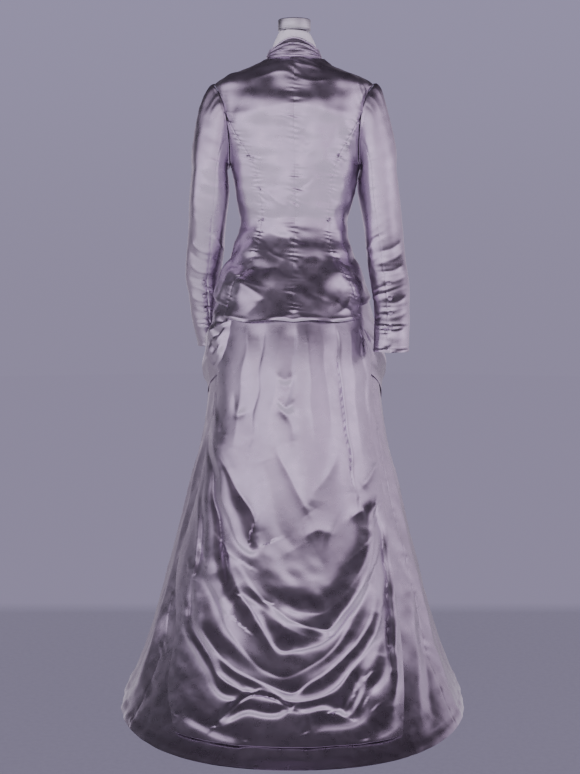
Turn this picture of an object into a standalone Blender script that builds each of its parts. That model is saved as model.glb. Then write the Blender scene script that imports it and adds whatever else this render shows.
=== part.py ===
# Plain satin bustle dress of the Edwardian costume kind, on a limbless dress form.
# Metres, +Z up. +Y is the wearer's front, +X the wearer's right, the floor is at z = 0.
# Angles run round the figure from the centre back: 0 back, 90 right side, 180 front.
import math
from collections import namedtuple

import bmesh
import bpy
import numpy as np

# Driving sizes
CLOTH = 0.0015
BAND = 0.0020
SEAM_GAP = 0.0003
HEAD_GAP = 0.0016
WAIST_TOP = 1.074
SKIRT_TOP = 1.040
BAND_FOOT = 1.0413
OVERSKIRT_TOP = 1.056
HEM_ROW = 0.85
SHOULDER_TOP = 1.397
UNDERARM = 1.20
NECK_ROW = 1.452
NECK_START = 1.36
NECK_DROP = 0.047
PRINCESS_TOP = 1.325
SKIRT_EASE = 0.0075
COLLAR_RIDGE = 0.0016
COLLAR_OPENING = math.radians(1.4)
FORM_FOOT = 0.80
POLE_RADIUS = 0.016
BASE_RADIUS = 0.17
BASE_HEIGHT = 0.012
CAP_RADIUS = 0.038
CAP_BEVEL = 0.0015
CAP_TOP = 1.543
CUFF_BUTTON_RADIUS = 0.0055
FRONT_BUTTON_RADIUS = 0.0075
BUTTON_GAP = 0.0006
CUFF_BUTTON_SINK = 0.0008
BUTTON_SIDES = 8
CAP_SIDES = 24
POLE_SIDES = 16
BASE_SIDES = 40
SMOOTH_ANGLE = math.radians(40)
TINY = 1e-6

# Rings of the figure: half width, the back's and front's y, the y of the widest line,
# the sideways shift of the middle, and the power that squares the ring's corners.
Ring = namedtuple("Ring", "height half_width back front mid shift power")
BODY = (
    Ring(0.800, 0.198, -0.208, 0.140, 0.030, 0.000, 2.10),
    Ring(0.850, 0.194, -0.198, 0.136, 0.030, -0.001, 2.10),
    Ring(0.900, 0.184, -0.172, 0.126, 0.020, -0.002, 2.10),
    Ring(0.956, 0.162, -0.140, 0.113, 0.010, -0.003, 2.15),
    Ring(1.014, 0.137, -0.107, 0.099, 0.000, 0.001, 2.20),
    Ring(1.062, 0.122, -0.088, 0.090, 0.000, 0.003, 2.20),
    Ring(1.118, 0.131, -0.095, 0.104, 0.000, 0.004, 2.20),
    Ring(1.155, 0.140, -0.100, 0.118, 0.000, 0.003, 2.25),
    Ring(1.200, 0.149, -0.104, 0.128, 0.000, 0.002, 2.30),
    Ring(1.250, 0.155, -0.107, 0.130, 0.000, 0.001, 2.30),
    Ring(1.308, 0.166, -0.106, 0.113, 0.000, 0.000, 2.30),
    Ring(1.350, 0.176, -0.101, 0.096, 0.000, 0.000, 2.20),
    Ring(1.375, 0.181, -0.096, 0.084, 0.000, 0.000, 2.10),
    Ring(1.397, 0.182, -0.090, 0.072, 0.000, 0.001, 1.90),
    Ring(1.412, 0.156, -0.084, 0.065, 0.000, 0.001, 1.80),
    Ring(1.426, 0.118, -0.077, 0.058, 0.000, 0.001, 1.75),
    Ring(1.440, 0.082, -0.068, 0.052, 0.000, 0.002, 1.85),
    Ring(1.452, 0.064, -0.058, 0.046, 0.000, 0.002, 2.00),
)
SKIRT_RINGS = (
    Ring(0.000, 0.386, -0.612, 0.300, -0.100, -0.002, 2.30),
    Ring(0.030, 0.371, -0.562, 0.294, -0.090, -0.001, 2.30),
    Ring(0.080, 0.349, -0.497, 0.285, -0.075, 0.000, 2.25),
    Ring(0.130, 0.331, -0.445, 0.275, -0.060, 0.000, 2.20),
    Ring(0.200, 0.312, -0.388, 0.262, -0.040, 0.000, 2.20),
    Ring(0.330, 0.279, -0.320, 0.240, 0.000, 0.001, 2.15),
    Ring(0.430, 0.254, -0.282, 0.220, 0.020, 0.001, 2.10),
    Ring(0.550, 0.226, -0.252, 0.195, 0.035, 0.002, 2.10),
    Ring(0.660, 0.211, -0.233, 0.175, 0.045, 0.003, 2.05),
    Ring(0.770, 0.204, -0.214, 0.158, 0.045, 0.002, 2.05),
    Ring(0.860, 0.185, -0.186, 0.127, 0.028, -0.001, 2.10),
)
HIP_HEIGHT = 0.86

# Seam lines of the bodice back, as distance from the middle at each height
Seam = namedtuple("Seam", "height across")
PRINCESS = (
    Seam(0.850, 0.155), Seam(0.890, 0.146), Seam(0.930, 0.129), Seam(0.973, 0.101),
    Seam(1.014, 0.085), Seam(1.056, 0.078), Seam(1.095, 0.076), Seam(1.154, 0.083),
    Seam(1.207, 0.094), Seam(1.246, 0.113), Seam(1.308, 0.145), Seam(1.325, 0.154),
)
# The armhole, as angles before and behind the side line
Armhole = namedtuple("Armhole", "height behind before")
ARMHOLE = (
    Armhole(1.200, 0, 0), Armhole(1.208, 8, 9), Armhole(1.220, 12, 15),
    Armhole(1.250, 18, 24), Armhole(1.280, 22, 30), Armhole(1.308, 25, 33),
    Armhole(1.325, 25.5, 33), Armhole(1.350, 24, 30), Armhole(1.375, 18, 22),
    Armhole(1.389, 11, 13), Armhole(1.397, 0, 0),
)
BODICE_ROWS = (
    0.850, 0.880, 0.905, 0.926, 0.945, 0.965, 0.984, 1.000, 1.014, 1.034, 1.060, 1.088,
    1.125, 1.163, 1.200, 1.220, 1.250, 1.280, 1.308, 1.325, 1.350, 1.375, 1.389, 1.397,
    1.412, 1.426, 1.440, 1.452,
)
SIDE_TOP_ROW = 1.308
# Height of the bodice hem round the figure, for the three cuts of panel
Hem = namedtuple("Hem", "angle height")
BACK_HEM = (Hem(0, 0.852), Hem(12, 0.856), Hem(30, 0.851), Hem(48, 0.856))
SIDE_HEM = (Hem(40, 0.876), Hem(60, 0.888), Hem(90, 0.905))
FRONT_HEM = (Hem(90, 0.905), Hem(130, 0.898), Hem(165, 0.885), Hem(180, 0.872))
# Rounded waves of the basque below the waist and creases across it
Wave = namedtuple("Wave", "angle rise half_angle")
BASQUE_WAVES = (Wave(19, 0.009, 11), Wave(42, 0.005, 9), Wave(64, 0.006, 10))
BASQUE_WAVES_TOP = 0.965
CREASE_FADE_START = 0.6
Crease = namedtuple("Crease", "height rise half_height reach")
WAIST_CREASES = (
    Crease(1.052, 0.0020, 0.010, 80), Crease(1.012, 0.0035, 0.014, 70),
    Crease(0.983, 0.0025, 0.010, 55), Crease(0.943, 0.0040, 0.014, 50),
)

# Sleeves: rings of a tube, as seen from the body outwards
Cuff = namedtuple("Cuff", "height out forward half_width half_depth")
SLEEVE_RIGHT = (
    Cuff(0.782, 0.2210, -0.128, 0.0390, 0.032), Cuff(0.830, 0.2220, -0.112, 0.0390, 0.033),
    Cuff(0.887, 0.2230, -0.086, 0.0395, 0.036), Cuff(0.930, 0.2215, -0.064, 0.0420, 0.040),
    Cuff(0.981, 0.2165, -0.042, 0.0450, 0.043), Cuff(1.040, 0.2110, -0.022, 0.0460, 0.047),
    Cuff(1.087, 0.2050, -0.010, 0.0470, 0.050), Cuff(1.146, 0.1980, -0.002, 0.0475, 0.055),
    Cuff(1.200, 0.1940, 0.000, 0.0450, 0.058),
)
SLEEVE_LEFT = (
    Cuff(0.778, 0.2040, 0.150, 0.0295, 0.041), Cuff(0.830, 0.2110, 0.125, 0.0330, 0.040),
    Cuff(0.887, 0.2150, 0.097, 0.0370, 0.040), Cuff(0.937, 0.2170, 0.072, 0.0410, 0.042),
    Cuff(1.003, 0.2090, 0.040, 0.0450, 0.045), Cuff(1.040, 0.2060, 0.027, 0.0460, 0.047),
    Cuff(1.087, 0.2025, 0.013, 0.0465, 0.050), Cuff(1.146, 0.1975, 0.004, 0.0485, 0.055),
    Cuff(1.200, 0.1940, 0.000, 0.0450, 0.058),
)
SLEEVE_TILT = 0.028
# The sleeve head runs from the armhole to the tube on a curve: how strongly it starts
# outwards and ends downwards, at the underarm and at the top, and how full it is
HEAD_START = 0.7
HEAD_OUT_UNDERARM = 0.022
HEAD_OUT_TOP = 0.090
HEAD_RISE = 0.030
HEAD_BULGE = 0.018
HEAD_FALL_UNDERARM = 0.035
HEAD_FALL_TOP = 0.140
SLEEVE_BACK_SEAM = 108
SLEEVE_FRONT_SEAM = 260
CUFF_BUTTON_HEIGHTS = (0.935, 0.902, 0.869, 0.837)
CUFF_BUTTON_ANGLE = 97
FRONT_BUTTON_HEIGHTS = (1.375, 1.325, 1.275, 1.222, 1.166, 1.107, 1.047, 0.992, 0.935)

# Back drape: its two edges, how far it stands off the skirt, and its largest folds
Edge = namedtuple("Edge", "height left right")
DRAPE_EDGES = (
    Edge(0.030, -0.244, 0.220), Edge(0.087, -0.266, 0.229), Edge(0.140, -0.262, 0.231),
    Edge(0.190, -0.257, 0.229), Edge(0.297, -0.262, 0.219), Edge(0.390, -0.238, 0.209),
    Edge(0.480, -0.214, 0.199), Edge(0.540, -0.203, 0.189), Edge(0.590, -0.196, 0.178),
    Edge(0.660, -0.150, 0.168), Edge(0.764, -0.151, 0.158), Edge(0.860, -0.130, 0.141),
    Edge(0.950, -0.104, 0.108), Edge(1.020, -0.086, 0.090), Edge(1.060, -0.080, 0.085),
)
Lift = namedtuple("Lift", "height lift")
DRAPE_LIFT = (
    Lift(0.030, 0.009), Lift(0.100, 0.016), Lift(0.250, 0.022), Lift(0.400, 0.021),
    Lift(0.550, 0.017), Lift(0.700, 0.013), Lift(0.800, 0.009), Lift(0.860, 0.0037),
    Lift(1.020, 0.0036), Lift(1.056, 0.0028),
)
Fold = namedtuple("Fold", "name rise half_width path")
Knot = namedtuple("Knot", "number x z")
DRAPE_FOLDS = (
    Fold("pleat_a", -0.008, 0.011, ((-0.057, 0.850), (-0.076, 0.740), (-0.100, 0.600))),
    Fold("pleat_b", -0.007, 0.010, ((0.001, 0.850), (-0.006, 0.760), (-0.016, 0.640))),
    Fold("pleat_c", -0.009, 0.012, ((0.093, 0.850), (0.110, 0.650), (0.136, 0.480))),
    Fold("pleat_d", -0.007, 0.010, ((0.143, 0.840), (0.156, 0.720), (0.168, 0.570))),
    Fold("hip_groove_outer", -0.011, 0.014,
         ((-0.184, 0.590), (-0.183, 0.470), (-0.152, 0.347), (-0.101, 0.273), (-0.049, 0.225))),
    Fold("hip_groove_inner", -0.010, 0.013, ((-0.170, 0.600), (-0.137, 0.491), (-0.102, 0.400))),
    Fold("hip_roll", 0.009, 0.018, ((-0.155, 0.540), (-0.118, 0.440), (-0.080, 0.365))),
    Fold("slant_a", -0.006, 0.012, ((-0.037, 0.588), (0.010, 0.480), (0.042, 0.425))),
    Fold("slant_b", -0.006, 0.012, ((0.098, 0.572), (0.070, 0.500), (0.040, 0.440))),
    Fold("belly", 0.010, 0.034, ((-0.060, 0.350), (0.030, 0.330), (0.110, 0.360))),
    Fold("swag_dip", -0.008, 0.011, ((-0.045, 0.291), (0.025, 0.283), (0.095, 0.300))),
    Fold("swag_a", 0.012, 0.012, ((-0.035, 0.260), (0.040, 0.250), (0.128, 0.304))),
    Fold("swag_b", 0.014, 0.013, ((-0.148, 0.342), (-0.060, 0.250), (0.040, 0.222),
                                  (0.141, 0.274), (0.185, 0.420))),
    Fold("swag_c", 0.012, 0.011, ((-0.120, 0.300), (-0.068, 0.225), (-0.020, 0.186),
                                  (0.070, 0.200))),
    Fold("swag_d", 0.016, 0.014, ((-0.216, 0.370), (-0.200, 0.240), (-0.130, 0.160),
                                  (-0.030, 0.120), (0.070, 0.145), (0.165, 0.208),
                                  (0.190, 0.340))),
    Fold("swag_e", 0.014, 0.013, ((-0.238, 0.250), (-0.180, 0.145), (-0.060, 0.098),
                                  (0.050, 0.096), (0.130, 0.130), (0.192, 0.200),
                                  (0.206, 0.360))),
    Fold("side_roll_left", 0.010, 0.014, ((-0.243, 0.300), (-0.240, 0.190), (-0.245, 0.090))),
    Fold("side_roll_right", 0.011, 0.012, ((0.186, 0.500), (0.206, 0.300), (0.214, 0.080))),
    Fold("foot_leaf_a", 0.010, 0.010, ((-0.152, 0.060), (-0.080, 0.078), (-0.012, 0.070))),
    Fold("foot_leaf_b", 0.010, 0.010, ((0.045, 0.062), (0.105, 0.062), (0.165, 0.080))),
)
# The drape lies flat on the skirt above these heights and is drawn in at its side edges
DRAPE_FREE_TOP = 0.865
DRAPE_FREE_FULL = 0.80
EDGE_DRAW_IN = 0.62
EDGE_SHARPNESS = 6
EDGE_MARGIN = 0.05
EDGE_FOLD_SHARE = 0.25
LEAST_FACING = 0.45
DEEPEST_HOLLOW = 0.6
WIDEST_SHARE = 0.995
FOLD_END_SPAN = 6
FOLD_END_RISE = 0.15
DRAPE_LOW_ROWS = 25
DRAPE_COLUMNS = 24

# Front drape that ends in a gathered puff at each hip
APRON_EDGES = (
    Edge(0.735, -0.172, 0.172), Edge(0.800, -0.160, 0.165), Edge(0.860, -0.139, 0.150),
    Edge(0.950, -0.113, 0.117), Edge(1.020, -0.094, 0.098), Edge(1.060, -0.088, 0.093),
)
APRON_END = 0.735
APRON_MIDDLE = 0.545
APRON_LIFT = (
    Lift(0.00, 0.008), Lift(0.10, 0.012), Lift(0.24, 0.012), Lift(0.31, 0.006),
    Lift(0.36, 0.0037), Lift(0.90, 0.0036), Lift(1.00, 0.0029),
)
Swag = namedtuple("Swag", "end middle rise half_width")
APRON_SWAGS = (
    Swag(0.10, 0.06, 0.006, 0.045), Swag(0.24, 0.20, 0.007, 0.05), Swag(0.36, 0.36, 0.006, 0.05),
)
APRON_FREE_FULL = 0.26
APRON_FREE_TOP = 0.36
SAG_POWER = 1.3
TOP_ROWS = (0.900, 0.940, 0.975, 1.000, 1.020, 1.035, 1.046, 1.056)
APRON_RISES = (0.0, 0.06, 0.12, 0.18, 0.24, 0.30, 0.36, 0.42, 0.55, 0.70, 0.84, 0.91, 0.955, 1.0)
APRON_COLUMNS = 20

# Panels of the skirt with the train, between seams given as angles
Gore = namedtuple("Gore", "name start end columns")
GORES = (
    Gore("skirt_train", -62, 62, 16), Gore("skirt_side_right", 62, 100, 5),
    Gore("skirt_side_left", -100, -62, 5), Gore("skirt_front", 100, 260, 14),
)
GORE_ROWS = (
    0.000, 0.035, 0.090, 0.160, 0.250, 0.360, 0.480, 0.610, 0.740, 0.850, 0.930, 0.990,
    1.040,
)
GORE_INSET = (Lift(0.000, 0.0), Lift(0.050, 0.0015), Lift(0.200, 0.003), Lift(0.600, 0.004),
              Lift(0.900, 0.005), Lift(0.985, 0.004), Lift(1.020, 0.0016), Lift(1.040, 0.0004))

# Dress form: how far it lies inside the bodice, and its neck
Inset = namedtuple("Inset", "height side back front")
FORM_INSET = (
    Inset(0.800, 0.032, 0.062, 0.032), Inset(0.850, 0.030, 0.056, 0.030),
    Inset(0.900, 0.026, 0.046, 0.026), Inset(0.956, 0.020, 0.032, 0.020),
    Inset(1.014, 0.0135, 0.0150, 0.0135), Inset(1.035, 0.0116, 0.0118, 0.0116),
    Inset(1.048, 0.0104, 0.0104, 0.0104), Inset(1.076, 0.0104, 0.0104, 0.0104),
    Inset(1.090, 0.0110, 0.0110, 0.0110),
    Inset(1.130, 0.012, 0.010, 0.012), Inset(1.200, 0.012, 0.010, 0.012),
    Inset(1.280, 0.010, 0.008, 0.010), Inset(1.350, 0.006, 0.004, 0.005),
    Inset(1.389, 0.006, 0.0030, 0.0030), Inset(1.397, 0.006, 0.0030, 0.0030),
    Inset(1.412, 0.0028, 0.0028, 0.0028),
    Inset(1.426, 0.0030, 0.0030, 0.0030), Inset(1.452, 0.0034, 0.0034, 0.0034),
)
FORM_ROWS = (
    0.800, 0.860, 0.920, 0.970, 1.010, 1.034, 1.048, 1.062, 1.076, 1.094, 1.130, 1.200,
    1.260, 1.320, 1.360, 1.389, 1.397, 1.412, 1.426, 1.440, 1.452,
)
FORM_COLUMNS = 24
NeckRing = namedtuple("NeckRing", "height front_drop half_width back front")
FORM_NECK = (
    NeckRing(1.4600, 0.0360, 0.0560, -0.0510, 0.0540),
    NeckRing(1.4700, 0.0220, 0.0528, -0.0480, 0.0480),
    NeckRing(1.4830, 0.0060, 0.0508, -0.0450, 0.0430),
    NeckRing(1.5000, 0.0000, 0.0430, -0.0400, 0.0390),
    NeckRing(1.5170, 0.0000, 0.0345, -0.0340, 0.0340),
)
NECK_SHIFT = 0.002
# Turned pieces: radius and height of each edge of the profile
Turned = namedtuple("Turned", "radius height")
BUTTON_PROFILE = (Turned(0.92, 0.0), Turned(1.0, 0.22), Turned(0.62, 0.52))
CAP_FOOT = 1.5173
CAP_PROFILE = (
    Turned(CAP_RADIUS - CAP_BEVEL, CAP_FOOT), Turned(CAP_RADIUS, CAP_FOOT + CAP_BEVEL),
    Turned(CAP_RADIUS, CAP_TOP - CAP_BEVEL), Turned(CAP_RADIUS - CAP_BEVEL, CAP_TOP),
)
POLE_PROFILE = (
    Turned(POLE_RADIUS, BASE_HEIGHT + SEAM_GAP), Turned(POLE_RADIUS, FORM_FOOT - SEAM_GAP),
)
BASE_PROFILE = (
    Turned(BASE_RADIUS, 0.0), Turned(BASE_RADIUS, BASE_HEIGHT - 0.005),
    Turned(BASE_RADIUS - 0.004, BASE_HEIGHT),
)
COLLAR_TOP = NeckRing(1.496, 0.0580, 0.0565, -0.0520, 0.0545)
COLLAR_SIDE_DROP = 0.029

Finish = namedtuple("Finish", "colour roughness metallic")
SATIN = Finish((0.30, 0.255, 0.33), 0.32, 0.0)
FORM_WHITE = Finish((0.72, 0.71, 0.74), 0.6, 0.0)
STEEL = Finish((0.45, 0.45, 0.48), 0.28, 1.0)
BLACK_IRON = Finish((0.03, 0.03, 0.035), 0.5, 0.6)


def clear_scene():
    for item in list(bpy.data.objects):
        bpy.data.objects.remove(item, do_unlink=True)


def smooth(table, key, at, by="height"):
    """Value of one column of a table along a smooth curve through its rows."""
    places = np.array([getattr(row, by) for row in table], dtype=float)
    values = np.array([getattr(row, key) for row in table], dtype=float)
    at = np.clip(np.asarray(at, dtype=float), places[0], places[-1])
    slopes = np.gradient(values, places)
    index = np.clip(np.searchsorted(places, at, side="right") - 1, 0, len(places) - 2)
    span = places[index + 1] - places[index]
    t = (at - places[index]) / span
    start = (2 * t**3 - 3 * t**2 + 1) * values[index] + (t**3 - 2 * t**2 + t) * span * slopes[index]
    end = (3 * t**2 - 2 * t**3) * values[index + 1] + (t**3 - t**2) * span * slopes[index + 1]
    return start + end


def step(value, low, high):
    """Soft step from 0 at low to 1 at high."""
    t = np.clip((value - low) / (high - low), 0.0, 1.0)
    return t * t * (3 - 2 * t)


def body_size(key, height):
    return smooth(BODY, key, height)


def skirt_size(key, height):
    """Size of the skirts' rings. Over the hips they are the bodice's, drawn in by an ease."""
    ease = {"half_width": -SKIRT_EASE, "back": SKIRT_EASE, "front": -SKIRT_EASE}.get(key, 0.0)
    return np.where(height < HIP_HEIGHT, smooth(SKIRT_RINGS, key, height),
                    body_size(key, height) + ease)


def ring_point(size, angle, height, front_height=None):
    """Point of a figure at an angle and a height; the front's depth may use its own height."""
    front_height = height if front_height is None else front_height
    mid = size("mid", height)
    power = 2.0 / size("power", height)
    cosine = np.cos(angle)
    sine = np.sin(angle)
    reach = np.where(cosine > 0, size("back", height), size("front", front_height))
    across = np.sign(sine) * np.abs(sine) ** power
    x = size("shift", height) + size("half_width", height) * across
    y = mid + (reach - mid) * np.abs(cosine) ** power
    return x, y


def angle_at(size, height, across):
    """Angle at which a figure's ring reaches a distance from its middle, on the back."""
    share = across / size("half_width", height)
    return np.arcsin(np.clip(share, 0.0, 1.0) ** (size("power", height) / 2.0))


def body_relief(angle, height):
    """Rounded waves of the basque and the creases across the waist."""
    turn = np.degrees(np.abs((angle + math.pi) % (2 * math.pi) - math.pi))
    ramp = 1 - step(height, HEM_ROW, BASQUE_WAVES_TOP)
    rise = np.zeros_like(turn)
    for wave in BASQUE_WAVES:
        rise = rise + wave.rise * ramp * np.exp(-((turn - wave.angle) / wave.half_angle) ** 2)
    for crease in WAIST_CREASES:
        reach = 1 - step(turn, crease.reach * CREASE_FADE_START, crease.reach)
        distance = (height - crease.height) / crease.half_height
        rise = rise + crease.rise * reach * np.exp(-distance ** 2)
    return rise


def body(angle, row, relief=True):
    """Outer surface of the bodice. In front the top rows sink to the front of the neck."""
    angle, row = np.broadcast_arrays(np.asarray(angle, float), np.asarray(row, float))
    turn = np.abs((angle + math.pi) % (2 * math.pi) - math.pi)
    sink = NECK_DROP * step(turn, math.pi / 2, math.pi)
    height = row - sink * np.clip((row - NECK_START) / (NECK_ROW - NECK_START), 0, 1)
    x, y = ring_point(body_size, angle, row, height)
    points = np.stack([x, y, height], axis=-1)
    if relief:
        rise = body_relief(angle, row)
        points[..., 0] += np.sin(angle) * rise
        points[..., 1] -= np.cos(angle) * rise
    return points


def surface_normals(surface, across, upward, nudge=1e-3):
    """Unit normals of a surface function, from its slopes at each place."""
    along = surface(across + nudge, upward) - surface(across - nudge, upward)
    rising = surface(across, upward + nudge) - surface(across, upward - nudge)
    normal = np.cross(along, rising)
    return normal / np.linalg.norm(normal, axis=-1, keepdims=True)


def material(name, finish):
    made = bpy.data.materials.new(name)
    made.use_nodes = True
    shader = made.node_tree.nodes["Principled BSDF"]
    shader.inputs["Base Color"].default_value = (*finish.colour, 1.0)
    shader.inputs["Roughness"].default_value = finish.roughness
    shader.inputs["Metallic"].default_value = finish.metallic
    return made


def add_object(name, points, faces, finish):
    """Named object from points and faces, shaded smooth."""
    shape = bmesh.new()
    corners = [shape.verts.new(point) for point in points]
    for face in faces:
        shape.faces.new([corners[index] for index in face])
    mesh = bpy.data.meshes.new(name)
    shape.to_mesh(mesh)
    shape.free()
    mesh.shade_smooth()
    mesh.set_sharp_from_angle(angle=SMOOTH_ANGLE)
    mesh.materials.append(material(name, finish))
    made = bpy.data.objects.new(name, mesh)
    bpy.context.scene.collection.objects.link(made)
    return made


def cloth_wall(name, surface, across, upward, finish=SATIN, thickness=CLOTH):
    """Closed wall of even thickness inside a surface. Nothing reaches below the floor."""
    across, upward = np.broadcast_arrays(across, upward)
    outer = surface(across, upward)
    rows, columns = outer.shape[:2]
    inner = outer - surface_normals(surface, across, upward) * thickness
    inner[..., 2] = np.maximum(inner[..., 2], 0.0)
    points = np.concatenate([outer.reshape(-1, 3), inner.reshape(-1, 3)])
    far = rows * columns

    def at(row, column, side):
        return row * columns + column + side * far

    faces = []
    for row in range(rows - 1):
        for column in range(columns - 1):
            corner = [(row, column), (row, column + 1), (row + 1, column + 1), (row + 1, column)]
            for pick in ((0, 1, 2), (0, 2, 3)):
                faces.append([at(*corner[k], 0) for k in pick])
                faces.append([at(*corner[k], 1) for k in reversed(pick)])
    border = [(0, column) for column in range(columns - 1)]
    border += [(row, columns - 1) for row in range(rows - 1)]
    border += [(rows - 1, column) for column in range(columns - 1, 0, -1)]
    border += [(row, 0) for row in range(rows - 1, 0, -1)]
    for here, there in zip(border, border[1:] + border[:1]):
        faces.append([at(*there, 0), at(*here, 0), at(*here, 1)])
        faces.append([at(*there, 0), at(*here, 1), at(*there, 1)])
    return add_object(name, points.tolist(), faces, finish)


def closed_solid(name, grid, finish):
    """Solid from rings that close on themselves, with a flat cap on the first and last."""
    rows, columns = grid.shape[:2]
    points = grid.reshape(-1, 3).tolist()
    faces = []
    for row in range(rows - 1):
        for column in range(columns):
            beside = (column + 1) % columns
            a = row * columns + column
            b = row * columns + beside
            faces.append([a, b, b + columns])
            faces.append([a, b + columns, a + columns])
    for row, turn in ((0, -1), (rows - 1, 1)):
        centre = len(points)
        points.append(grid[row].mean(axis=0).tolist())
        for column in range(columns):
            edge = [row * columns + column, row * columns + (column + 1) % columns]
            faces.append([*edge[::turn], centre])
    return add_object(name, points, faces, finish)


def turned_solid(name, profile, sides, finish, place=(0, 0, 0), axis=(0, 0, 1)):
    """Round solid from (radius, height) pairs along an axis at a place."""
    axis = np.array(axis, float) / np.linalg.norm(axis)
    guide = np.eye(3)[np.abs(axis).argmin()]
    first = np.cross(guide, axis)
    first = first / np.linalg.norm(first)
    second = np.cross(axis, first)
    turn = np.arange(sides) * 2 * math.pi / sides
    ring = np.outer(np.cos(turn), first) + np.outer(np.sin(turn), second)
    rings = [np.array(place) + ring * edge.radius + axis * edge.height for edge in profile]
    return closed_solid(name, np.array(rings), finish)


def princess_angle(row):
    """Angle of the seam at the outer edge of a centre back panel."""
    seam = angle_at(body_size, row, smooth(PRINCESS, "across", row))
    hole = math.pi / 2 - np.radians(smooth(ARMHOLE, "behind", row))
    above = np.where(row < SHOULDER_TOP, hole, math.pi / 2)
    return np.where(row < PRINCESS_TOP - TINY, seam, above)


def side_panel_end(row):
    """Angle at which a side back panel ends: the side seam, and the armhole above it."""
    hole = math.pi / 2 - np.radians(smooth(ARMHOLE, "behind", row))
    return np.where(row < UNDERARM, math.pi / 2, hole)


def front_panel_start(row):
    hole = math.pi / 2 + np.radians(smooth(ARMHOLE, "before", row))
    inside = (row > UNDERARM) & (row < SHOULDER_TOP)
    return np.where(inside, hole, math.pi / 2)


def bodice_panel(name, rows, start, end, columns, hem, side):
    """One panel of the bodice between two angles that vary with the height."""
    rows = np.array(rows)[:, None]
    share = np.linspace(0, 1, columns + 1)[None, :]
    half_gap = SEAM_GAP / 2 / smooth(BODY, "half_width", rows)
    first = start(rows) + half_gap
    last = end(rows) - half_gap
    angle = first + (last - first) * share
    raise_hem = smooth(hem, "height", np.degrees(angle), by="angle") - HEM_ROW
    row = rows + raise_hem * (1 - step(rows, HEM_ROW, BASQUE_WAVES_TOP))
    if side < 0:
        angle = -angle[:, ::-1]
        row = row[:, ::-1]
    return cloth_wall(name, body, angle, row)


def make_bodice():
    side_rows = [row for row in BODICE_ROWS if row <= SIDE_TOP_ROW]
    for side, word in ((1, "right"), (-1, "left")):
        bodice_panel(f"bodice_back_{word}", BODICE_ROWS, np.zeros_like, princess_angle, 6,
                     BACK_HEM, side)
        bodice_panel(f"bodice_side_{word}", side_rows, princess_angle, side_panel_end, 4,
                     SIDE_HEM, side)
        bodice_panel(f"bodice_front_{word}", BODICE_ROWS, front_panel_start,
                     lambda row: np.full_like(row, math.pi), 7, FRONT_HEM, side)


def neck_line(angle):
    return body(angle, NECK_ROW)


def front_turn(angle):
    """How far an angle has gone from the back to the side, and from the side to the front."""
    turn = np.abs((angle + math.pi) % (2 * math.pi) - math.pi)
    return step(turn, 0.0, math.pi / 2), step(turn, math.pi / 2, math.pi)


def neck_ring(ring, angle, side_drop=0.0):
    """Ring round the neck, lower at the sides and the front."""
    to_side, to_front = front_turn(angle)
    reach = np.where(np.cos(angle) > 0, ring.back, ring.front)
    height = ring.height - side_drop * to_side - (ring.front_drop - side_drop) * to_front
    return np.stack([NECK_SHIFT + ring.half_width * np.sin(angle),
                     reach * np.abs(np.cos(angle)), height], axis=-1)


def collar(angle, share):
    """Outer surface of the stand collar, from the neck line (0) to its top edge (1)."""
    angle, share = np.broadcast_arrays(angle, share)
    foot = neck_line(angle) + np.array((0, 0, SEAM_GAP))
    top = neck_ring(COLLAR_TOP, angle, COLLAR_SIDE_DROP)
    outward = np.stack([np.sin(angle), -np.cos(angle), np.zeros_like(angle)], axis=-1)
    ridge = COLLAR_RIDGE * np.sin(math.pi * share)
    return foot + (top - foot) * share[..., None] + outward * ridge[..., None]


def make_collar(columns=28, rows=3):
    angle = np.linspace(-math.pi + COLLAR_OPENING, math.pi - COLLAR_OPENING, columns + 1)[None, :]
    cloth_wall("collar", collar, angle, np.linspace(0, 1, rows + 1)[:, None])


def armhole_point(turn, side):
    """Edge of the armhole at a turn from its top: 90 degrees back, 180 underarm."""
    middle = (SHOULDER_TOP + UNDERARM) / 2
    row = middle + (SHOULDER_TOP - middle) * np.cos(turn)
    behind = np.radians(smooth(ARMHOLE, "behind", row))
    before = np.radians(smooth(ARMHOLE, "before", row))
    angle = math.pi / 2 - np.where(np.sin(turn) > 0, behind, -before)
    return body(side * angle, row) + np.array((side * HEAD_GAP, 0, 0))


def sleeve_ring(table, turn, row, side):
    """Point of a sleeve tube at a turn round it and a height."""
    x = smooth(table, "out", row) + smooth(table, "half_width", row) * np.cos(turn)
    y = smooth(table, "forward", row) - smooth(table, "half_depth", row) * np.sin(turn)
    return np.stack([side * x, y, row + 0 * x], axis=-1)


def sleeve(table, turn, rise, side):
    """Outer surface of a sleeve: rise 0 at the cuff, HEAD_START at the armpit, 1 at the armhole."""
    turn, rise = np.broadcast_arrays(turn, rise)
    armpit = table[-1].height + SLEEVE_TILT * np.cos(turn)
    lowest = table[0].height
    tube_rise = np.minimum(rise / HEAD_START, 1)
    tube = sleeve_ring(table, turn, lowest + (armpit - lowest) * tube_rise, side)
    t = 1 - np.clip((rise - HEAD_START) / (1 - HEAD_START), 0, None)[..., None]
    level = ((1 + np.cos(turn)) / 2)[..., None]
    sine = np.sin(turn)[..., None]
    outward = HEAD_OUT_UNDERARM + (HEAD_OUT_TOP - HEAD_OUT_UNDERARM) * level
    downward = HEAD_FALL_UNDERARM + (HEAD_FALL_TOP - HEAD_FALL_UNDERARM) * level
    out = np.concatenate([side * outward, -HEAD_BULGE * sine, HEAD_RISE * level], axis=-1)
    down = np.concatenate([side * HEAD_RISE * level, 0 * level, -downward], axis=-1)
    end = sleeve_ring(table, turn, armpit, side)
    head = ((2 * t**3 - 3 * t**2 + 1) * armhole_point(turn, side) + (t**3 - 2 * t**2 + t) * out
            + (3 * t**2 - 2 * t**3) * end + (t**3 - t**2) * down)
    return np.where((rise < HEAD_START)[..., None], tube, head)


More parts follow.
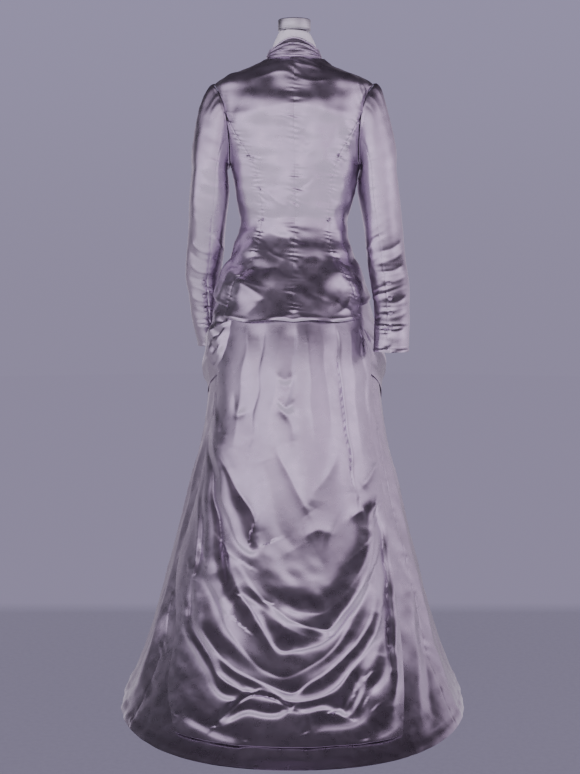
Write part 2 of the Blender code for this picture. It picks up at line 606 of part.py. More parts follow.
def make_sleeves(tube_rows=8, head_rows=6, upper_columns=8, under_columns=6):
    seam_turn = math.degrees(SEAM_GAP / 2 / SLEEVE_RIGHT[0].half_width)
    rise = np.concatenate([np.linspace(0, HEAD_START, tube_rows + 1)[:-1],
                           np.linspace(HEAD_START, 1, head_rows + 1)])[:, None]
    spans = (("upper", SLEEVE_FRONT_SEAM - 360, SLEEVE_BACK_SEAM, upper_columns),
             ("under", SLEEVE_BACK_SEAM, SLEEVE_FRONT_SEAM, under_columns))
    for side, word, table in ((1, "right", SLEEVE_RIGHT), (-1, "left", SLEEVE_LEFT)):
        for piece, start, end, columns in spans:
            turns = np.radians(np.linspace(start + seam_turn, end - seam_turn, columns + 1))
            across = (-side * turns[::-side])[None, :]
            cloth_wall(f"sleeve_{piece}_{word}",
                       lambda u, v: sleeve(table, -side * u, v, side), across, rise)


def button(name, surface, across, height, radius, sink=0.0):
    """Domed button, its flat back just off the cloth, clear of a hollow under it."""
    place = surface(across, height)
    normal = surface_normals(surface, across, height)
    rims = [surface(across, height + side * radius) - place for side in (-1, 1)]
    hollow = max(0.0, *(float(rim @ normal) for rim in rims))
    seat = place + normal * (BUTTON_GAP - sink + hollow)
    profile = [Turned(edge.radius * radius, edge.height * radius) for edge in BUTTON_PROFILE]
    return turned_solid(name, profile, BUTTON_SIDES, SATIN, seat, normal)


def make_buttons():
    for number, height in enumerate(FRONT_BUTTON_HEIGHTS, start=1):
        button(f"front_button_{number}", body, np.array(math.pi), np.array(height),
               FRONT_BUTTON_RADIUS)
    turn = np.array(math.radians(CUFF_BUTTON_ANGLE))
    for side, word, table in ((1, "right", SLEEVE_RIGHT), (-1, "left", SLEEVE_LEFT)):
        def tube(u, v):
            return sleeve_ring(table, -side * u, v, side)
        for number, height in enumerate(CUFF_BUTTON_HEIGHTS, start=1):
            button(f"cuff_button_{word}_{number}", tube, -side * turn, np.array(height),
                   CUFF_BUTTON_RADIUS, CUFF_BUTTON_SINK)


def skirt(angle, height, lift=0.0):
    """Outer surface of the skirt, moved out level by a lift."""
    angle, height = np.broadcast_arrays(np.asarray(angle, float), np.asarray(height, float))
    x, y = ring_point(skirt_size, angle, height)
    mid = skirt_size("mid", height)
    reach = np.where(np.cos(angle) > 0, mid - skirt_size("back", height),
                     skirt_size("front", height) - mid)
    out_x = np.sin(angle) / skirt_size("half_width", height)
    out_y = -np.cos(angle) / reach
    size = np.hypot(out_x, out_y)
    return np.stack([x + lift * out_x / size, y + lift * out_y / size, height], axis=-1)


def back_depth(x, height):
    """y of the skirt's back at a sideways place, and how squarely it faces back there."""
    half_width = skirt_size("half_width", height)
    share = np.clip(np.abs(x - skirt_size("shift", height)) / half_width, 0, WIDEST_SHARE)
    power = skirt_size("power", height)
    mid = skirt_size("mid", height)
    reach = mid - skirt_size("back", height)
    curve = (1 - share ** power) ** (1 / power)
    out_x = share ** (power - 1) / half_width
    out_y = curve ** (power - 1) / reach
    return mid - reach * curve, out_y / np.hypot(out_x, out_y)


def fold_path(fold, pieces=8):
    """Points along a smooth curve through a fold's own points."""
    knots = [Knot(number, *point) for number, point in enumerate(fold.path)]
    at = np.linspace(0, len(knots) - 1, pieces * (len(knots) - 1) + 1)
    return np.stack([smooth(knots, "x", at, "number"), smooth(knots, "z", at, "number")], axis=-1)


def fold_rise(fold, x, z):
    """Height that one fold adds at places (x, z): a soft ridge or trough along its path."""
    path = fold_path(fold)
    place = np.stack([x, z], axis=-1)[..., None, :]
    start = path[:-1]
    run = path[1:] - start
    share = np.clip(((place - start) * run).sum(-1) / (run * run).sum(-1), 0, 1)
    gap = np.linalg.norm(place - start - run * share[..., None], axis=-1)
    nearest = gap.argmin(axis=-1)
    distance = np.take_along_axis(gap, nearest[..., None], -1)[..., 0]
    along = (nearest + np.take_along_axis(share, nearest[..., None], -1)[..., 0]) / len(run)
    taper = np.sqrt(np.clip(np.minimum(along, 1 - along) * FOLD_END_SPAN, FOLD_END_RISE, 1))
    return fold.rise * taper * np.exp(-(distance / fold.half_width) ** 2)


def drape(share, height):
    """Outer surface of the back drape: share 0 at its left edge, 1 at its right."""
    share, height = np.broadcast_arrays(np.asarray(share, float), np.asarray(height, float))
    left = smooth(DRAPE_EDGES, "left", height)
    x = left + (smooth(DRAPE_EDGES, "right", height) - left) * share
    lift = smooth(DRAPE_LIFT, "lift", height)
    free = 1 - step(height, DRAPE_FREE_FULL, DRAPE_FREE_TOP)
    edge = 1 - EDGE_DRAW_IN * np.abs(2 * share - 1) ** EDGE_SHARPNESS * free
    rise = sum(fold_rise(fold, x, height) for fold in DRAPE_FOLDS)
    inside = step(share, 0.0, EDGE_MARGIN) * step(1 - share, 0.0, EDGE_MARGIN)
    fold_share = EDGE_FOLD_SHARE + (1 - EDGE_FOLD_SHARE) * inside
    depth, facing = back_depth(x, height)
    out = lift * edge / np.maximum(facing, LEAST_FACING)
    out = out + np.maximum(rise, -DEEPEST_HOLLOW * lift) * free * fold_share
    return np.stack([x, depth - out, height], axis=-1)


def make_drape():
    low_rows = np.linspace(DRAPE_EDGES[0].height, HIP_HEIGHT, DRAPE_LOW_ROWS + 1)
    height = np.concatenate([low_rows, TOP_ROWS])[:, None]
    share = np.linspace(0, 1, DRAPE_COLUMNS + 1)[None, :]
    cloth_wall("back_drape", drape, share, height)


def apron(share, rise):
    """Outer surface of the front drape: share 0 at the right hip, 1 at the left, rise 0 to 1."""
    share, rise = np.broadcast_arrays(np.asarray(share, float), np.asarray(rise, float))
    plain = APRON_END + (OVERSKIRT_TOP - APRON_END) * rise
    right = angle_at(skirt_size, plain, smooth(APRON_EDGES, "right", plain))
    left = 2 * math.pi - angle_at(skirt_size, plain, -smooth(APRON_EDGES, "left", plain))
    angle = right + (left - right) * share
    sag = np.sin(math.pi * np.clip(share, 0, 1)) ** SAG_POWER
    lowest = APRON_END + (APRON_MIDDLE - APRON_END) * sag
    height = lowest + (OVERSKIRT_TOP - lowest) * rise
    lift = smooth(APRON_LIFT, "lift", rise)
    free = 1 - step(rise, APRON_FREE_FULL, APRON_FREE_TOP)
    for swag in APRON_SWAGS:
        level = swag.end + (swag.middle - swag.end) * sag
        lift = lift + free * swag.rise * np.exp(-((rise - level) / swag.half_width) ** 2)
    return skirt(angle, height, lift)


def make_apron():
    share = np.linspace(0, 1, APRON_COLUMNS + 1)[None, :]
    rise = np.array(APRON_RISES)[:, None]
    cloth_wall("front_drape", apron, share, rise)


def gore(angle, height):
    return skirt(angle, height, -smooth(GORE_INSET, "lift", height))


def make_skirt():
    height = np.array(GORE_ROWS)[:, None]
    half_gap = SEAM_GAP / 2 / skirt_size("half_width", height)
    for panel in GORES:
        first = math.radians(panel.start) + half_gap
        last = math.radians(panel.end) - half_gap
        share = np.linspace(0, 1, panel.columns + 1)[None, :]
        cloth_wall(panel.name, gore, first + (last - first) * share, height)


def band(angle, height):
    return skirt(angle, height, SEAM_GAP)


def make_waistband(columns=40, rows=3, opening=math.radians(0.1)):
    """Band that the skirts hang from, closed at the front."""
    angle = np.linspace(math.pi + opening, 3 * math.pi - opening, columns + 1)[None, :]
    height = np.linspace(BAND_FOOT, WAIST_TOP, rows + 1)[:, None]
    cloth_wall("waistband", band, angle, height, thickness=BAND)


def form_surface(angle, row):
    """Dress form under the bodice: the bodice's figure moved inwards."""
    def figure(u, v):
        return body(u, v, relief=False)
    facing_back = np.clip(np.cos(angle), 0, 1) ** 2
    facing_front = np.clip(-np.cos(angle), 0, 1) ** 2
    side = smooth(FORM_INSET, "side", row)
    inset = (side + (smooth(FORM_INSET, "back", row) - side) * facing_back
             + (smooth(FORM_INSET, "front", row) - side) * facing_front)
    return figure(angle, row) - surface_normals(figure, angle, row) * inset[..., None]


def make_form():
    """Limbless dress form with a smooth neck, closed all round."""
    angle = np.linspace(0, 2 * math.pi, FORM_COLUMNS + 1)[:-1]
    torso = form_surface(angle[None, :], np.array(FORM_ROWS)[:, None])
    torso[0, :, 2] = FORM_FOOT
    neck = np.array([neck_ring(ring, angle) for ring in FORM_NECK])
    closed_solid("form_torso", np.concatenate([torso, neck]), FORM_WHITE)


def make_stand():
    turned_solid("neck_cap", CAP_PROFILE, CAP_SIDES, STEEL, (NECK_SHIFT, 0, 0))
    turned_solid("stand_pole", POLE_PROFILE, POLE_SIDES, STEEL)
    turned_solid("stand_foot", BASE_PROFILE, BASE_SIDES, BLACK_IRON)


def main():
    clear_scene()
    make_bodice()
    make_collar()
    make_sleeves()
    make_buttons()
    make_skirt()
    make_waistband()
    make_drape()
    make_apron()
    make_form()
    make_stand()


main()
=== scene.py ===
import math
from collections import namedtuple

import bpy
import numpy as np
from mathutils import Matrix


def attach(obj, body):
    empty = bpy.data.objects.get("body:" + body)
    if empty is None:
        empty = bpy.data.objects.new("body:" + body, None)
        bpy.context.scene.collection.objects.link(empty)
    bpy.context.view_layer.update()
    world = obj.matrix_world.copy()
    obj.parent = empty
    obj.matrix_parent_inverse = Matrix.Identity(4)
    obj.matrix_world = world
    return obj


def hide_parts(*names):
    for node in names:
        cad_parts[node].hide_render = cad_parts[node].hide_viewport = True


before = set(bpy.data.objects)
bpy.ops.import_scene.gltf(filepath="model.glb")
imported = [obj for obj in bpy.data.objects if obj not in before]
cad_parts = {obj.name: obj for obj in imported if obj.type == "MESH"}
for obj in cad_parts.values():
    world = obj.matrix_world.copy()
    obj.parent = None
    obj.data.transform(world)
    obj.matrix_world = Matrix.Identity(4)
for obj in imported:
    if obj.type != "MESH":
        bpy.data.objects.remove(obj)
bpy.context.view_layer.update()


def rows_of(kind, *cells):
    """A table of named rows."""
    return tuple(kind(*row) for row in cells)


def in_mm(kind, *cells):
    """A table of named rows in metres, written in millimetres."""
    return tuple(kind(*(size / 1000 for size in row)) for row in cells)


def rings(*cells):
    """Rings of a figure, written in millimetres but for the power of their curve."""
    return tuple(Ring(*(size / 1000 for size in row[:-1]), row[-1]) for row in cells)


# Driving sizes of the figure. Its surfaces are the frame's; the cloth is thinner
CLOTH = 0.0011
SEAM_GAP = 0.0003
SHOWN_GAP = 0.00005
HEAD_GAP = 0.0016
WAIST_TOP = 1.074
BAND_FOOT = 1.0413
OVERSKIRT_TOP = 1.056
HEM_ROW = 0.85
SHOULDER_TOP = 1.397
UNDERARM = 1.20
NECK_ROW = 1.452
NECK_START = 1.36
NECK_DROP = 0.047
PRINCESS_TOP = 1.325
SKIRT_EASE = 0.0075
HIP_HEIGHT = 0.86
BAND_CLOTH = 0.0018

Ring = namedtuple("Ring", "height half_width back front mid shift power")
BODY = rings(
    (800, 198, -208, 140, 30, 0, 2.1), (850, 194, -198, 136, 30, -1, 2.1),
    (900, 184, -172, 126, 20, -2, 2.1), (956, 162, -140, 113, 10, -3, 2.15),
    (1014, 137, -107, 99, 0, 1, 2.2), (1062, 122, -88, 90, 0, 3, 2.2),
    (1118, 131, -95, 104, 0, 4, 2.2), (1155, 140, -100, 118, 0, 3, 2.25),
    (1200, 149, -104, 128, 0, 2, 2.3), (1250, 155, -107, 130, 0, 1, 2.3),
    (1308, 166, -107, 113, 0, 0, 2.3), (1350, 176, -105, 96, 0, 0, 2.2),
    (1375, 181, -97, 84, 0, 0, 2.1), (1397, 182, -89.5, 72, 0, 1, 1.9),
    (1412, 156, -84, 65, 0, 1, 1.8), (1426, 118, -77, 58, 0, 1, 1.75),
    (1440, 82, -68, 52, 0, 2, 1.85), (1452, 64, -58, 46, 0, 2, 2.0),
)
SKIRT_RINGS = rings(
    (0, 386, -612, 300, -100, -2, 2.3), (30, 371, -562, 294, -90, -1, 2.3),
    (80, 349, -497, 285, -75, 0, 2.25), (130, 331, -445, 275, -60, 0, 2.2),
    (200, 312, -388, 262, -40, 0, 2.2), (330, 279, -320, 240, 0, 1, 2.15),
    (430, 254, -282, 220, 20, 1, 2.1), (550, 226, -252, 195, 35, 2, 2.1),
    (660, 211, -233, 175, 45, 3, 2.05), (770, 204, -214, 158, 45, 2, 2.05),
    (860, 185, -186, 127, 28, -1, 2.1),
)
Seam = namedtuple("Seam", "height across")
PRINCESS = in_mm(
    Seam, (850, 155), (890, 146), (930, 129), (973, 101), (1014, 85), (1056, 78), (1095, 76),
    (1154, 83), (1207, 94), (1246, 113), (1308, 145), (1325, 154),
)
Armhole = namedtuple("Armhole", "height behind before")
ARMHOLE = rows_of(
    Armhole, (1.200, 0, 0), (1.208, 8, 9), (1.220, 12, 15), (1.250, 18, 24), (1.280, 22, 30),
    (1.308, 25, 33), (1.325, 25.5, 33), (1.350, 24, 30), (1.375, 18, 22), (1.389, 11, 13),
    (1.397, 0, 0),
)
SIDE_TOP_ROW = 1.308
Hem = namedtuple("Hem", "angle height")
BACK_HEM = rows_of(Hem, (0, 0.852), (12, 0.856), (30, 0.851), (48, 0.856))
SIDE_HEM = rows_of(Hem, (40, 0.876), (60, 0.888), (90, 0.905))
FRONT_HEM = rows_of(Hem, (90, 0.905), (130, 0.898), (165, 0.885), (180, 0.872))
Wave = namedtuple("Wave", "angle rise half_angle")
BASQUE_WAVES = rows_of(Wave, (19, 0.009, 11), (42, 0.005, 9), (64, 0.006, 10))
BASQUE_WAVES_TOP = 0.965
Bar = namedtuple("Bar", "height rise half_height reach")
WAIST_BARS = rows_of(
    Bar, (1.052, 0.0008, 0.010, 80), (1.012, 0.0012, 0.014, 70), (0.983, 0.0008, 0.010, 55),
    (0.943, 0.0014, 0.014, 50),
)
BAR_FADE_START = 0.6
BAR_UNEVEN = 0.7
BAR_TURNS = 2.1
BAR_PHASE = 90

Cuff = namedtuple("Cuff", "height out forward half_width half_depth")
SLEEVE_RIGHT = in_mm(
    Cuff, (782, 221, -128, 39, 32), (830, 222, -112, 39, 33), (887, 223, -86, 39.5, 36),
    (930, 221.5, -64, 42, 40), (981, 216.5, -42, 45, 43), (1040, 211, -22, 46, 47),
    (1087, 205, -10, 47, 50), (1146, 198, -2, 47.5, 55), (1200, 194, 0, 45, 58),
)
SLEEVE_LEFT = in_mm(
    Cuff, (778, 204, 150, 29.5, 41), (830, 211, 125, 33, 40), (887, 215, 97, 37, 40),
    (937, 217, 72, 41, 42), (1003, 209, 40, 45, 45), (1040, 206, 27, 46, 47),
    (1087, 202.5, 13, 46.5, 50), (1146, 197.5, 4, 48.5, 55), (1200, 194, 0, 45, 58),
)
SLEEVE_TILT = 0.028
HEAD_START = 0.7
HEAD_OUT_UNDERARM = 0.022
HEAD_OUT_TOP = 0.090
HEAD_RISE = -0.018
HEAD_SPREAD = 0.008
HEAD_BULGE = 0.018
HEAD_FALL_UNDERARM = 0.035
HEAD_FALL_TOP = 0.140
SLEEVE_BACK_SEAM = 108
SLEEVE_FRONT_SEAM = 260

Edge = namedtuple("Edge", "height left right")
DRAPE_EDGES = in_mm(
    Edge, (30, -244, 220), (87, -266, 229), (140, -262, 231), (190, -257, 229), (297, -262, 219),
    (390, -238, 209), (480, -214, 199), (540, -203, 189), (590, -196, 178), (660, -176, 176),
    (764, -172, 174), (860, -148, 157), (950, -104, 108), (1020, -86, 90), (1060, -80, 85),
)
# How far cloth stands off the skirt's surface, by height
Lift = namedtuple("Lift", "height lift")
DRAPE_LIFT = rows_of(
    Lift, (0.030, 0.005), (0.100, 0.016), (0.250, 0.022), (0.400, 0.021), (0.550, 0.017),
    (0.700, 0.0130), (0.760, 0.0108), (0.800, 0.0084), (0.828, 0.0062), (0.848, 0.0044),
    (0.862, 0.0037), (1.020, 0.0036), (1.056, 0.0028),
)
DRAPE_FREE_TOP = 0.856
DRAPE_FREE_FULL = 0.82
EDGE_DRAW_IN = 0.60
EDGE_SHARPNESS = 8
LEAST_FACING = 0.45
DEEPEST_HOLLOW = 0.75
WIDEST_SHARE = 0.995

APRON_EDGES = in_mm(
    Edge, (735, -166, 164), (800, -145, 154), (860, -130, 138), (950, -113, 117), (1020, -94, 98),
    (1060, -88, 93),
)
APRON_END = 0.735
APRON_MIDDLE = 0.545
# The same for the front drape, by the share of its own height
APRON_LIFT = rows_of(
    Lift, (0.00, 0.008), (0.10, 0.012), (0.24, 0.012), (0.31, 0.006), (0.36, 0.0037),
    (0.90, 0.0036), (1.00, 0.0029),
)
Swag = namedtuple("Swag", "end middle rise half_width")
APRON_SWAGS = rows_of(
    Swag, (0.10, 0.06, 0.006, 0.045), (0.24, 0.20, 0.007, 0.05), (0.36, 0.36, 0.006, 0.05),
)
APRON_FREE_FULL = 0.26
APRON_FREE_TOP = 0.36
SAG_POWER = 1.3

# How far the skirt's panels lie inside that surface
GORE_INSET = rows_of(
    Lift, (0.000, 0.0), (0.050, 0.0015), (0.200, 0.003), (0.600, 0.004), (0.900, 0.005),
    (0.985, 0.004), (1.020, 0.0016), (1.040, 0.0004),
)
SKIRT_TOP = 1.040
NeckRing = namedtuple("NeckRing", "height front_drop half_width back front")
COLLAR_TOP = NeckRing(1.496, 0.0580, 0.0565, -0.0520, 0.0545)
COLLAR_SIDE_DROP = 0.029
COLLAR_RIDGE = 0.0016
COLLAR_OPENING = math.radians(1.4)
NECK_SHIFT = 0.002

# Unevenness: a rise, the stretch of each coordinate, the length of its waves, its seed
Drift = namedtuple("Drift", "rise stretch length seed")
SOFT_PARTS = (Drift(1.0, (1.0, 1.0, 0.6), 0.085, 0), Drift(0.3, (1.0, 1.0, 1.2), 0.040, 1))
Soft = namedtuple("Soft", "rise seed")
WAVE_SPREAD = (0.6, 1.4)
# A ridge, or with a negative rise a groove, along an edge: its distance from there
Ridge = namedtuple("Ridge", "middle half rise")
SIDES = ((1, "right"), (-1, "left"))


def between(start, end, share):
    """Value a share of the way from a start to an end."""
    return start + (end - start) * share


def curve(t, start, start_slope, end, end_slope):
    """Cubic from start at t = 0 to end at t = 1."""
    return ((2 * t**3 - 3 * t**2 + 1) * start + (t**3 - 2 * t**2 + t) * start_slope
            + (3 * t**2 - 2 * t**3) * end + (t**3 - t**2) * end_slope)


def smooth(table, key, at, by="height"):
    """Value of one column of a table along a smooth curve through its rows."""
    places = np.array([getattr(row, by) for row in table], dtype=float)
    values = np.array([getattr(row, key) for row in table], dtype=float)
    at = np.clip(np.asarray(at, dtype=float), places[0], places[-1])
    slopes = np.gradient(values, places)
    index = np.clip(np.searchsorted(places, at, side="right") - 1, 0, len(places) - 2)
    span = places[index + 1] - places[index]
    t = (at - places[index]) / span
    return curve(t, values[index], span * slopes[index],
                 values[index + 1], span * slopes[index + 1])


def step(value, low, high):
    """Soft step from 0 at low to 1 at high."""
    t = np.clip((value - low) / (high - low), 0.0, 1.0)
    return t * t * (3 - 2 * t)


def hump(value, middle, half):
    """Soft bump of height 1 round a middle."""
    return np.exp(-((value - middle) / half) ** 2)


def ridges(gap, *shapes):
    """Height that ridges add at a gap from their edge."""
    return sum(ridge.rise * hump(gap, ridge.middle, ridge.half) for ridge in shapes)


def waves(points, length, seed, count=7):
    """Smooth uneven field, about -1 to 1, made of plane waves of about one length."""
    maker = np.random.default_rng(seed)
    size = points.shape[-1]
    total = np.zeros(points.shape[:-1])
    for _ in range(count):
        way = maker.normal(size=size)
        way *= 2 * math.pi / length / np.linalg.norm(way) * maker.uniform(*WAVE_SPREAD)
        total += np.sin(points @ way + maker.uniform(0, 2 * math.pi))
    return total / math.sqrt(count)


def drift(points, uneven, more=0):
    """Slow rise and fall at points, longer along a coordinate that is stretched less."""
    return uneven.rise * waves(points * uneven.stretch, uneven.length, uneven.seed + more)


def soft(points, uneven, more=0):
    """Slow unevenness of cloth that hangs or is sewn."""
    return sum(uneven.rise * drift(points, part, uneven.seed + more) for part in SOFT_PARTS)


def body_size(key, height):
    return smooth(BODY, key, height)


def skirt_size(key, height):
    """Size of the skirts' rings. Over the hips they are the bodice's, drawn in by an ease."""
    ease = {"half_width": -SKIRT_EASE, "back": SKIRT_EASE, "front": -SKIRT_EASE}.get(key, 0.0)
    return np.where(height < HIP_HEIGHT, smooth(SKIRT_RINGS, key, height),
                    body_size(key, height) + ease)


def ring_point(size, angle, height, front_height=None):
    """Point of a figure at an angle and a height; the front's depth may use its own height."""
    front_height = height if front_height is None else front_height
    mid = size("mid", height)
    power = 2.0 / size("power", height)
    cosine = np.cos(angle)
    sine = np.sin(angle)
    reach = np.where(cosine > 0, size("back", height), size("front", front_height))
    across = np.sign(sine) * np.abs(sine) ** power
    x = size("shift", height) + size("half_width", height) * across
    y = mid + (reach - mid) * np.abs(cosine) ** power
    return x, y


def angle_at(size, height, across):
    """Angle at which a figure's ring reaches a distance from its middle, on the back."""
    share = across / size("half_width", height)
    return np.arcsin(np.clip(share, 0.0, 1.0) ** (size("power", height) / 2.0))


def turn_from_back(angle):
    return np.abs((angle + math.pi) % (2 * math.pi) - math.pi)


def body_relief(angle, height):
    """Rounded waves of the basque and the creases across the waist."""
    turn = np.degrees(turn_from_back(angle))
    ramp = 1 - step(height, HEM_ROW, BASQUE_WAVES_TOP)
    rise = np.zeros_like(turn)
    for wave in BASQUE_WAVES:
        rise = rise + wave.rise * ramp * hump(turn, wave.angle, wave.half_angle)
    for bar in WAIST_BARS:
        reach = 1 - step(turn, bar.reach * BAR_FADE_START, bar.reach)
        phase = BAR_TURNS * np.sin(angle) * math.pi + BAR_PHASE * bar.height
        uneven = 1 + BAR_UNEVEN * np.sin(phase)
        rise = rise + uneven * bar.rise * reach * hump(height, bar.height, bar.half_height)
    return rise


def body(angle, row):
    """Outer surface of the bodice. In front the top rows sink to the front of the neck."""
    angle, row = np.broadcast_arrays(np.asarray(angle, float), np.asarray(row, float))
    sink = NECK_DROP * step(turn_from_back(angle), math.pi / 2, math.pi)
    height = row - sink * np.clip((row - NECK_START) / (NECK_ROW - NECK_START), 0, 1)
    x, y = ring_point(body_size, angle, row, height)
    rise = body_relief(angle, row)
    return np.stack([x + np.sin(angle) * rise, y - np.cos(angle) * rise, height], axis=-1)


def hole_angle(row, edge):
    """Angle of the armhole's edge behind or before the arm."""
    turn = np.radians(smooth(ARMHOLE, edge, row))
    return math.pi / 2 + (turn if edge == "before" else -turn)


def princess_angle(row):
    """Angle of the seam at the outer edge of a centre back panel."""
    seam = angle_at(body_size, row, smooth(PRINCESS, "across", row))
    above = np.where(row < SHOULDER_TOP, hole_angle(row, "behind"), math.pi / 2)
    return np.where(row < PRINCESS_TOP, seam, above)


def side_panel_end(row):
    return np.where(row < UNDERARM, math.pi / 2, hole_angle(row, "behind"))


def front_panel_start(row):
    inside = (row > UNDERARM) & (row < SHOULDER_TOP)
    return np.where(inside, hole_angle(row, "before"), math.pi / 2)


def front_middle(row):
    return np.full_like(row, math.pi)


def neck_ring(ring, angle, side_drop):
    """Ring round the neck, lower at the sides and the front."""
    turn = turn_from_back(angle)
    to_side = step(turn, 0.0, math.pi / 2)
    to_front = step(turn, math.pi / 2, math.pi)
    reach = np.where(np.cos(angle) > 0, ring.back, ring.front)
    height = ring.height - side_drop * to_side - (ring.front_drop - side_drop) * to_front
    return np.stack([NECK_SHIFT + ring.half_width * np.sin(angle),
                     reach * np.abs(np.cos(angle)), height], axis=-1)


def collar(angle, share):
    """Outer surface of the stand collar, from the neck line (0) to its top edge (1)."""
    angle, share = np.broadcast_arrays(angle, share)
    foot = body(angle, NECK_ROW) + np.array((0, 0, SEAM_GAP))
    top = neck_ring(COLLAR_TOP, angle, COLLAR_SIDE_DROP)
    outward = np.stack([np.sin(angle), -np.cos(angle), np.zeros_like(angle)], axis=-1)
    ridge = COLLAR_RIDGE * np.sin(math.pi * share)
    return between(foot, top, share[..., None]) + outward * ridge[..., None]


def armhole_point(turn, side):
    """Edge of the armhole at a turn from its top: 90 degrees back, 180 underarm."""
    middle = (SHOULDER_TOP + UNDERARM) / 2
    row = middle + (SHOULDER_TOP - middle) * np.cos(turn)
    angle = np.where(np.sin(turn) > 0, hole_angle(row, "behind"), hole_angle(row, "before"))
    return body(side * angle, row) + np.array((side * HEAD_GAP, 0, 0))


def sleeve_ring(table, turn, row, side):
    """Point of a sleeve tube at a turn round it and a height."""
    x = smooth(table, "out", row) + smooth(table, "half_width", row) * np.cos(turn)
    y = smooth(table, "forward", row) - smooth(table, "half_depth", row) * np.sin(turn)
    return np.stack([side * x, y, row + 0 * x], axis=-1)


def sleeve(table, turn, rise, side):
    """Outer surface of a sleeve: rise 0 at the cuff, HEAD_START at the armpit, 1 at the armhole."""
    turn, rise = np.broadcast_arrays(turn, rise)
    armpit = table[-1].height + SLEEVE_TILT * np.cos(turn)
    tube_row = between(table[0].height, armpit, np.minimum(rise / HEAD_START, 1))
    tube = sleeve_ring(table, turn, tube_row, side)
    t = 1 - np.clip((rise - HEAD_START) / (1 - HEAD_START), 0, None)[..., None]
    level = ((1 + np.cos(turn)) / 2)[..., None]
    sine = np.sin(turn)[..., None]
    outward = between(HEAD_OUT_UNDERARM, HEAD_OUT_TOP, level)
    downward = between(HEAD_FALL_UNDERARM, HEAD_FALL_TOP, level)
    out = np.concatenate([side * outward, -HEAD_BULGE * sine, HEAD_RISE * level], axis=-1)
    down = np.concatenate([side * HEAD_SPREAD * level, 0 * level, -downward], axis=-1)
    head = curve(t, armhole_point(turn, side), out, sleeve_ring(table, turn, armpit, side), down)
    return np.where((rise < HEAD_START)[..., None], tube, head)


def skirt(angle, height, lift=0.0):
    """Outer surface of the skirt, moved out level by a lift."""
    angle, height = np.broadcast_arrays(np.asarray(angle, float), np.asarray(height, float))
    x, y = ring_point(skirt_size, angle, height)
    mid = skirt_size("mid", height)
    reach = np.where(np.cos(angle) > 0, mid - skirt_size("back", height),
                     skirt_size("front", height) - mid)
    out_x = np.sin(angle) / skirt_size("half_width", height)
    out_y = -np.cos(angle) / reach
    size = np.hypot(out_x, out_y)
    return np.stack([x + lift * out_x / size, y + lift * out_y / size, height], axis=-1)


def back_depth(x, height):
    """y of the skirt's back at a sideways place, and how squarely it faces back there."""
    half_width = skirt_size("half_width", height)
    share = np.clip(np.abs(x - skirt_size("shift", height)) / half_width, 0, WIDEST_SHARE)
    power = skirt_size("power", height)
    mid = skirt_size("mid", height)
    reach = mid - skirt_size("back", height)
    round_back = (1 - share ** power) ** (1 / power)
    out_x = share ** (power - 1) / half_width
    out_y = round_back ** (power - 1) / reach
    return mid - reach * round_back, out_y / np.hypot(out_x, out_y)


# Folds of the cloth. A fold is a ridge (or with a negative rise a groove) along a smooth
# path; above and below are how far it fades on either side of a path drawn left to right.
Fold = namedtuple("Fold", "rise above below path")
Knot = namedtuple("Knot", "number x z")
FOLD_REACH = 5


def folds(*rows):
    """Folds, each given as its rise in tenths of a millimetre, and then in millimetres its two
    fades and the x and z of each point of its path."""
    made = []
    for rise, above, below, *path in rows:
        points = [(x / 1000, z / 1000) for x, z in zip(path[::2], path[1::2])]
        made.append(Fold(rise / 10000, above / 1000, below / 1000, points))
    return made


def fold_field(table, x, z, pieces=10, end_span=5, end_rise=0.12, rounding=0.22, lean=0.0):
    """Height that folds add at places (x, z). Crests are narrow and flanks run out long. With a
    lean, a fold bulges above its path, by that share of its fade, and ends there in a lip."""
    place = np.stack([x, z], axis=-1).reshape(-1, 2)
    total = np.zeros(len(place))
    for fold in table:
        knots = [Knot(number, *point) for number, point in enumerate(fold.path)]
        at = np.linspace(0, len(knots) - 1, pieces * (len(knots) - 1) + 1)
        path = np.stack([smooth(knots, key, at, "number") for key in "xz"], -1)
        reach = FOLD_REACH * max(fold.above, fold.below)
        near = np.all((place > path.min(0) - reach) & (place < path.max(0) + reach), axis=1)
        spot = place[near][:, None, :]
        start = path[:-1]
        run = path[1:] - start
        share = np.clip(((spot - start) * run).sum(-1) / (run * run).sum(-1), 0, 1)
        off = spot - start - run * share[..., None]
        gap = np.linalg.norm(off, axis=-1)
        nearest = gap.argmin(axis=1)
        pick = (np.arange(len(nearest)), nearest)
        side = run[nearest, 0] * off[pick][:, 1] - run[nearest, 1] * off[pick][:, 0]
        fade = np.where(side > 0, fold.above, fold.below)
        along = (nearest + share[pick]) / len(run)
        taper = np.sqrt(np.clip(np.minimum(along, 1 - along) * end_span, end_rise, 1))
        flank = np.exp(rounding - np.sqrt((gap[pick] / fade) ** 2 + rounding ** 2))
        if lean:
            bulge = np.exp(-(np.where(side > 0, gap[pick], 0) / fold.above - lean) ** 2)
            flank = np.where(side > 0, bulge, bulge * flank)
        total[near] += fold.rise * taper * flank
    return total.reshape(np.shape(x))


# Shells and pieces
SHARP_ANGLE = math.radians(58)
LEAST_AREA_SHARE = 0.301
TINY = 1e-12


def grid_normals(points):
    """Unit normals of a grid of points, pointing out of the cloth."""
    normal = np.cross(np.gradient(points, axis=1), np.gradient(points, axis=0))
    return normal / np.maximum(np.linalg.norm(normal, axis=-1, keepdims=True), TINY)


def relief(points, rise):
    return points + grid_normals(points) * rise[..., None]


def lengths(points, axis):
    """Distance run along a grid from its first row or column."""
    gaps = np.linalg.norm(np.diff(points, axis=axis), axis=-1)
    start = np.zeros_like(np.take(gaps, [0], axis=axis))
    return np.cumsum(np.concatenate([start, gaps], axis=axis), axis=axis)


def edge_gaps(points):
    """Distance of each point of a grid from its first and from its last column."""
    across = lengths(points, 1)
    return across, across[:, -1:] - across


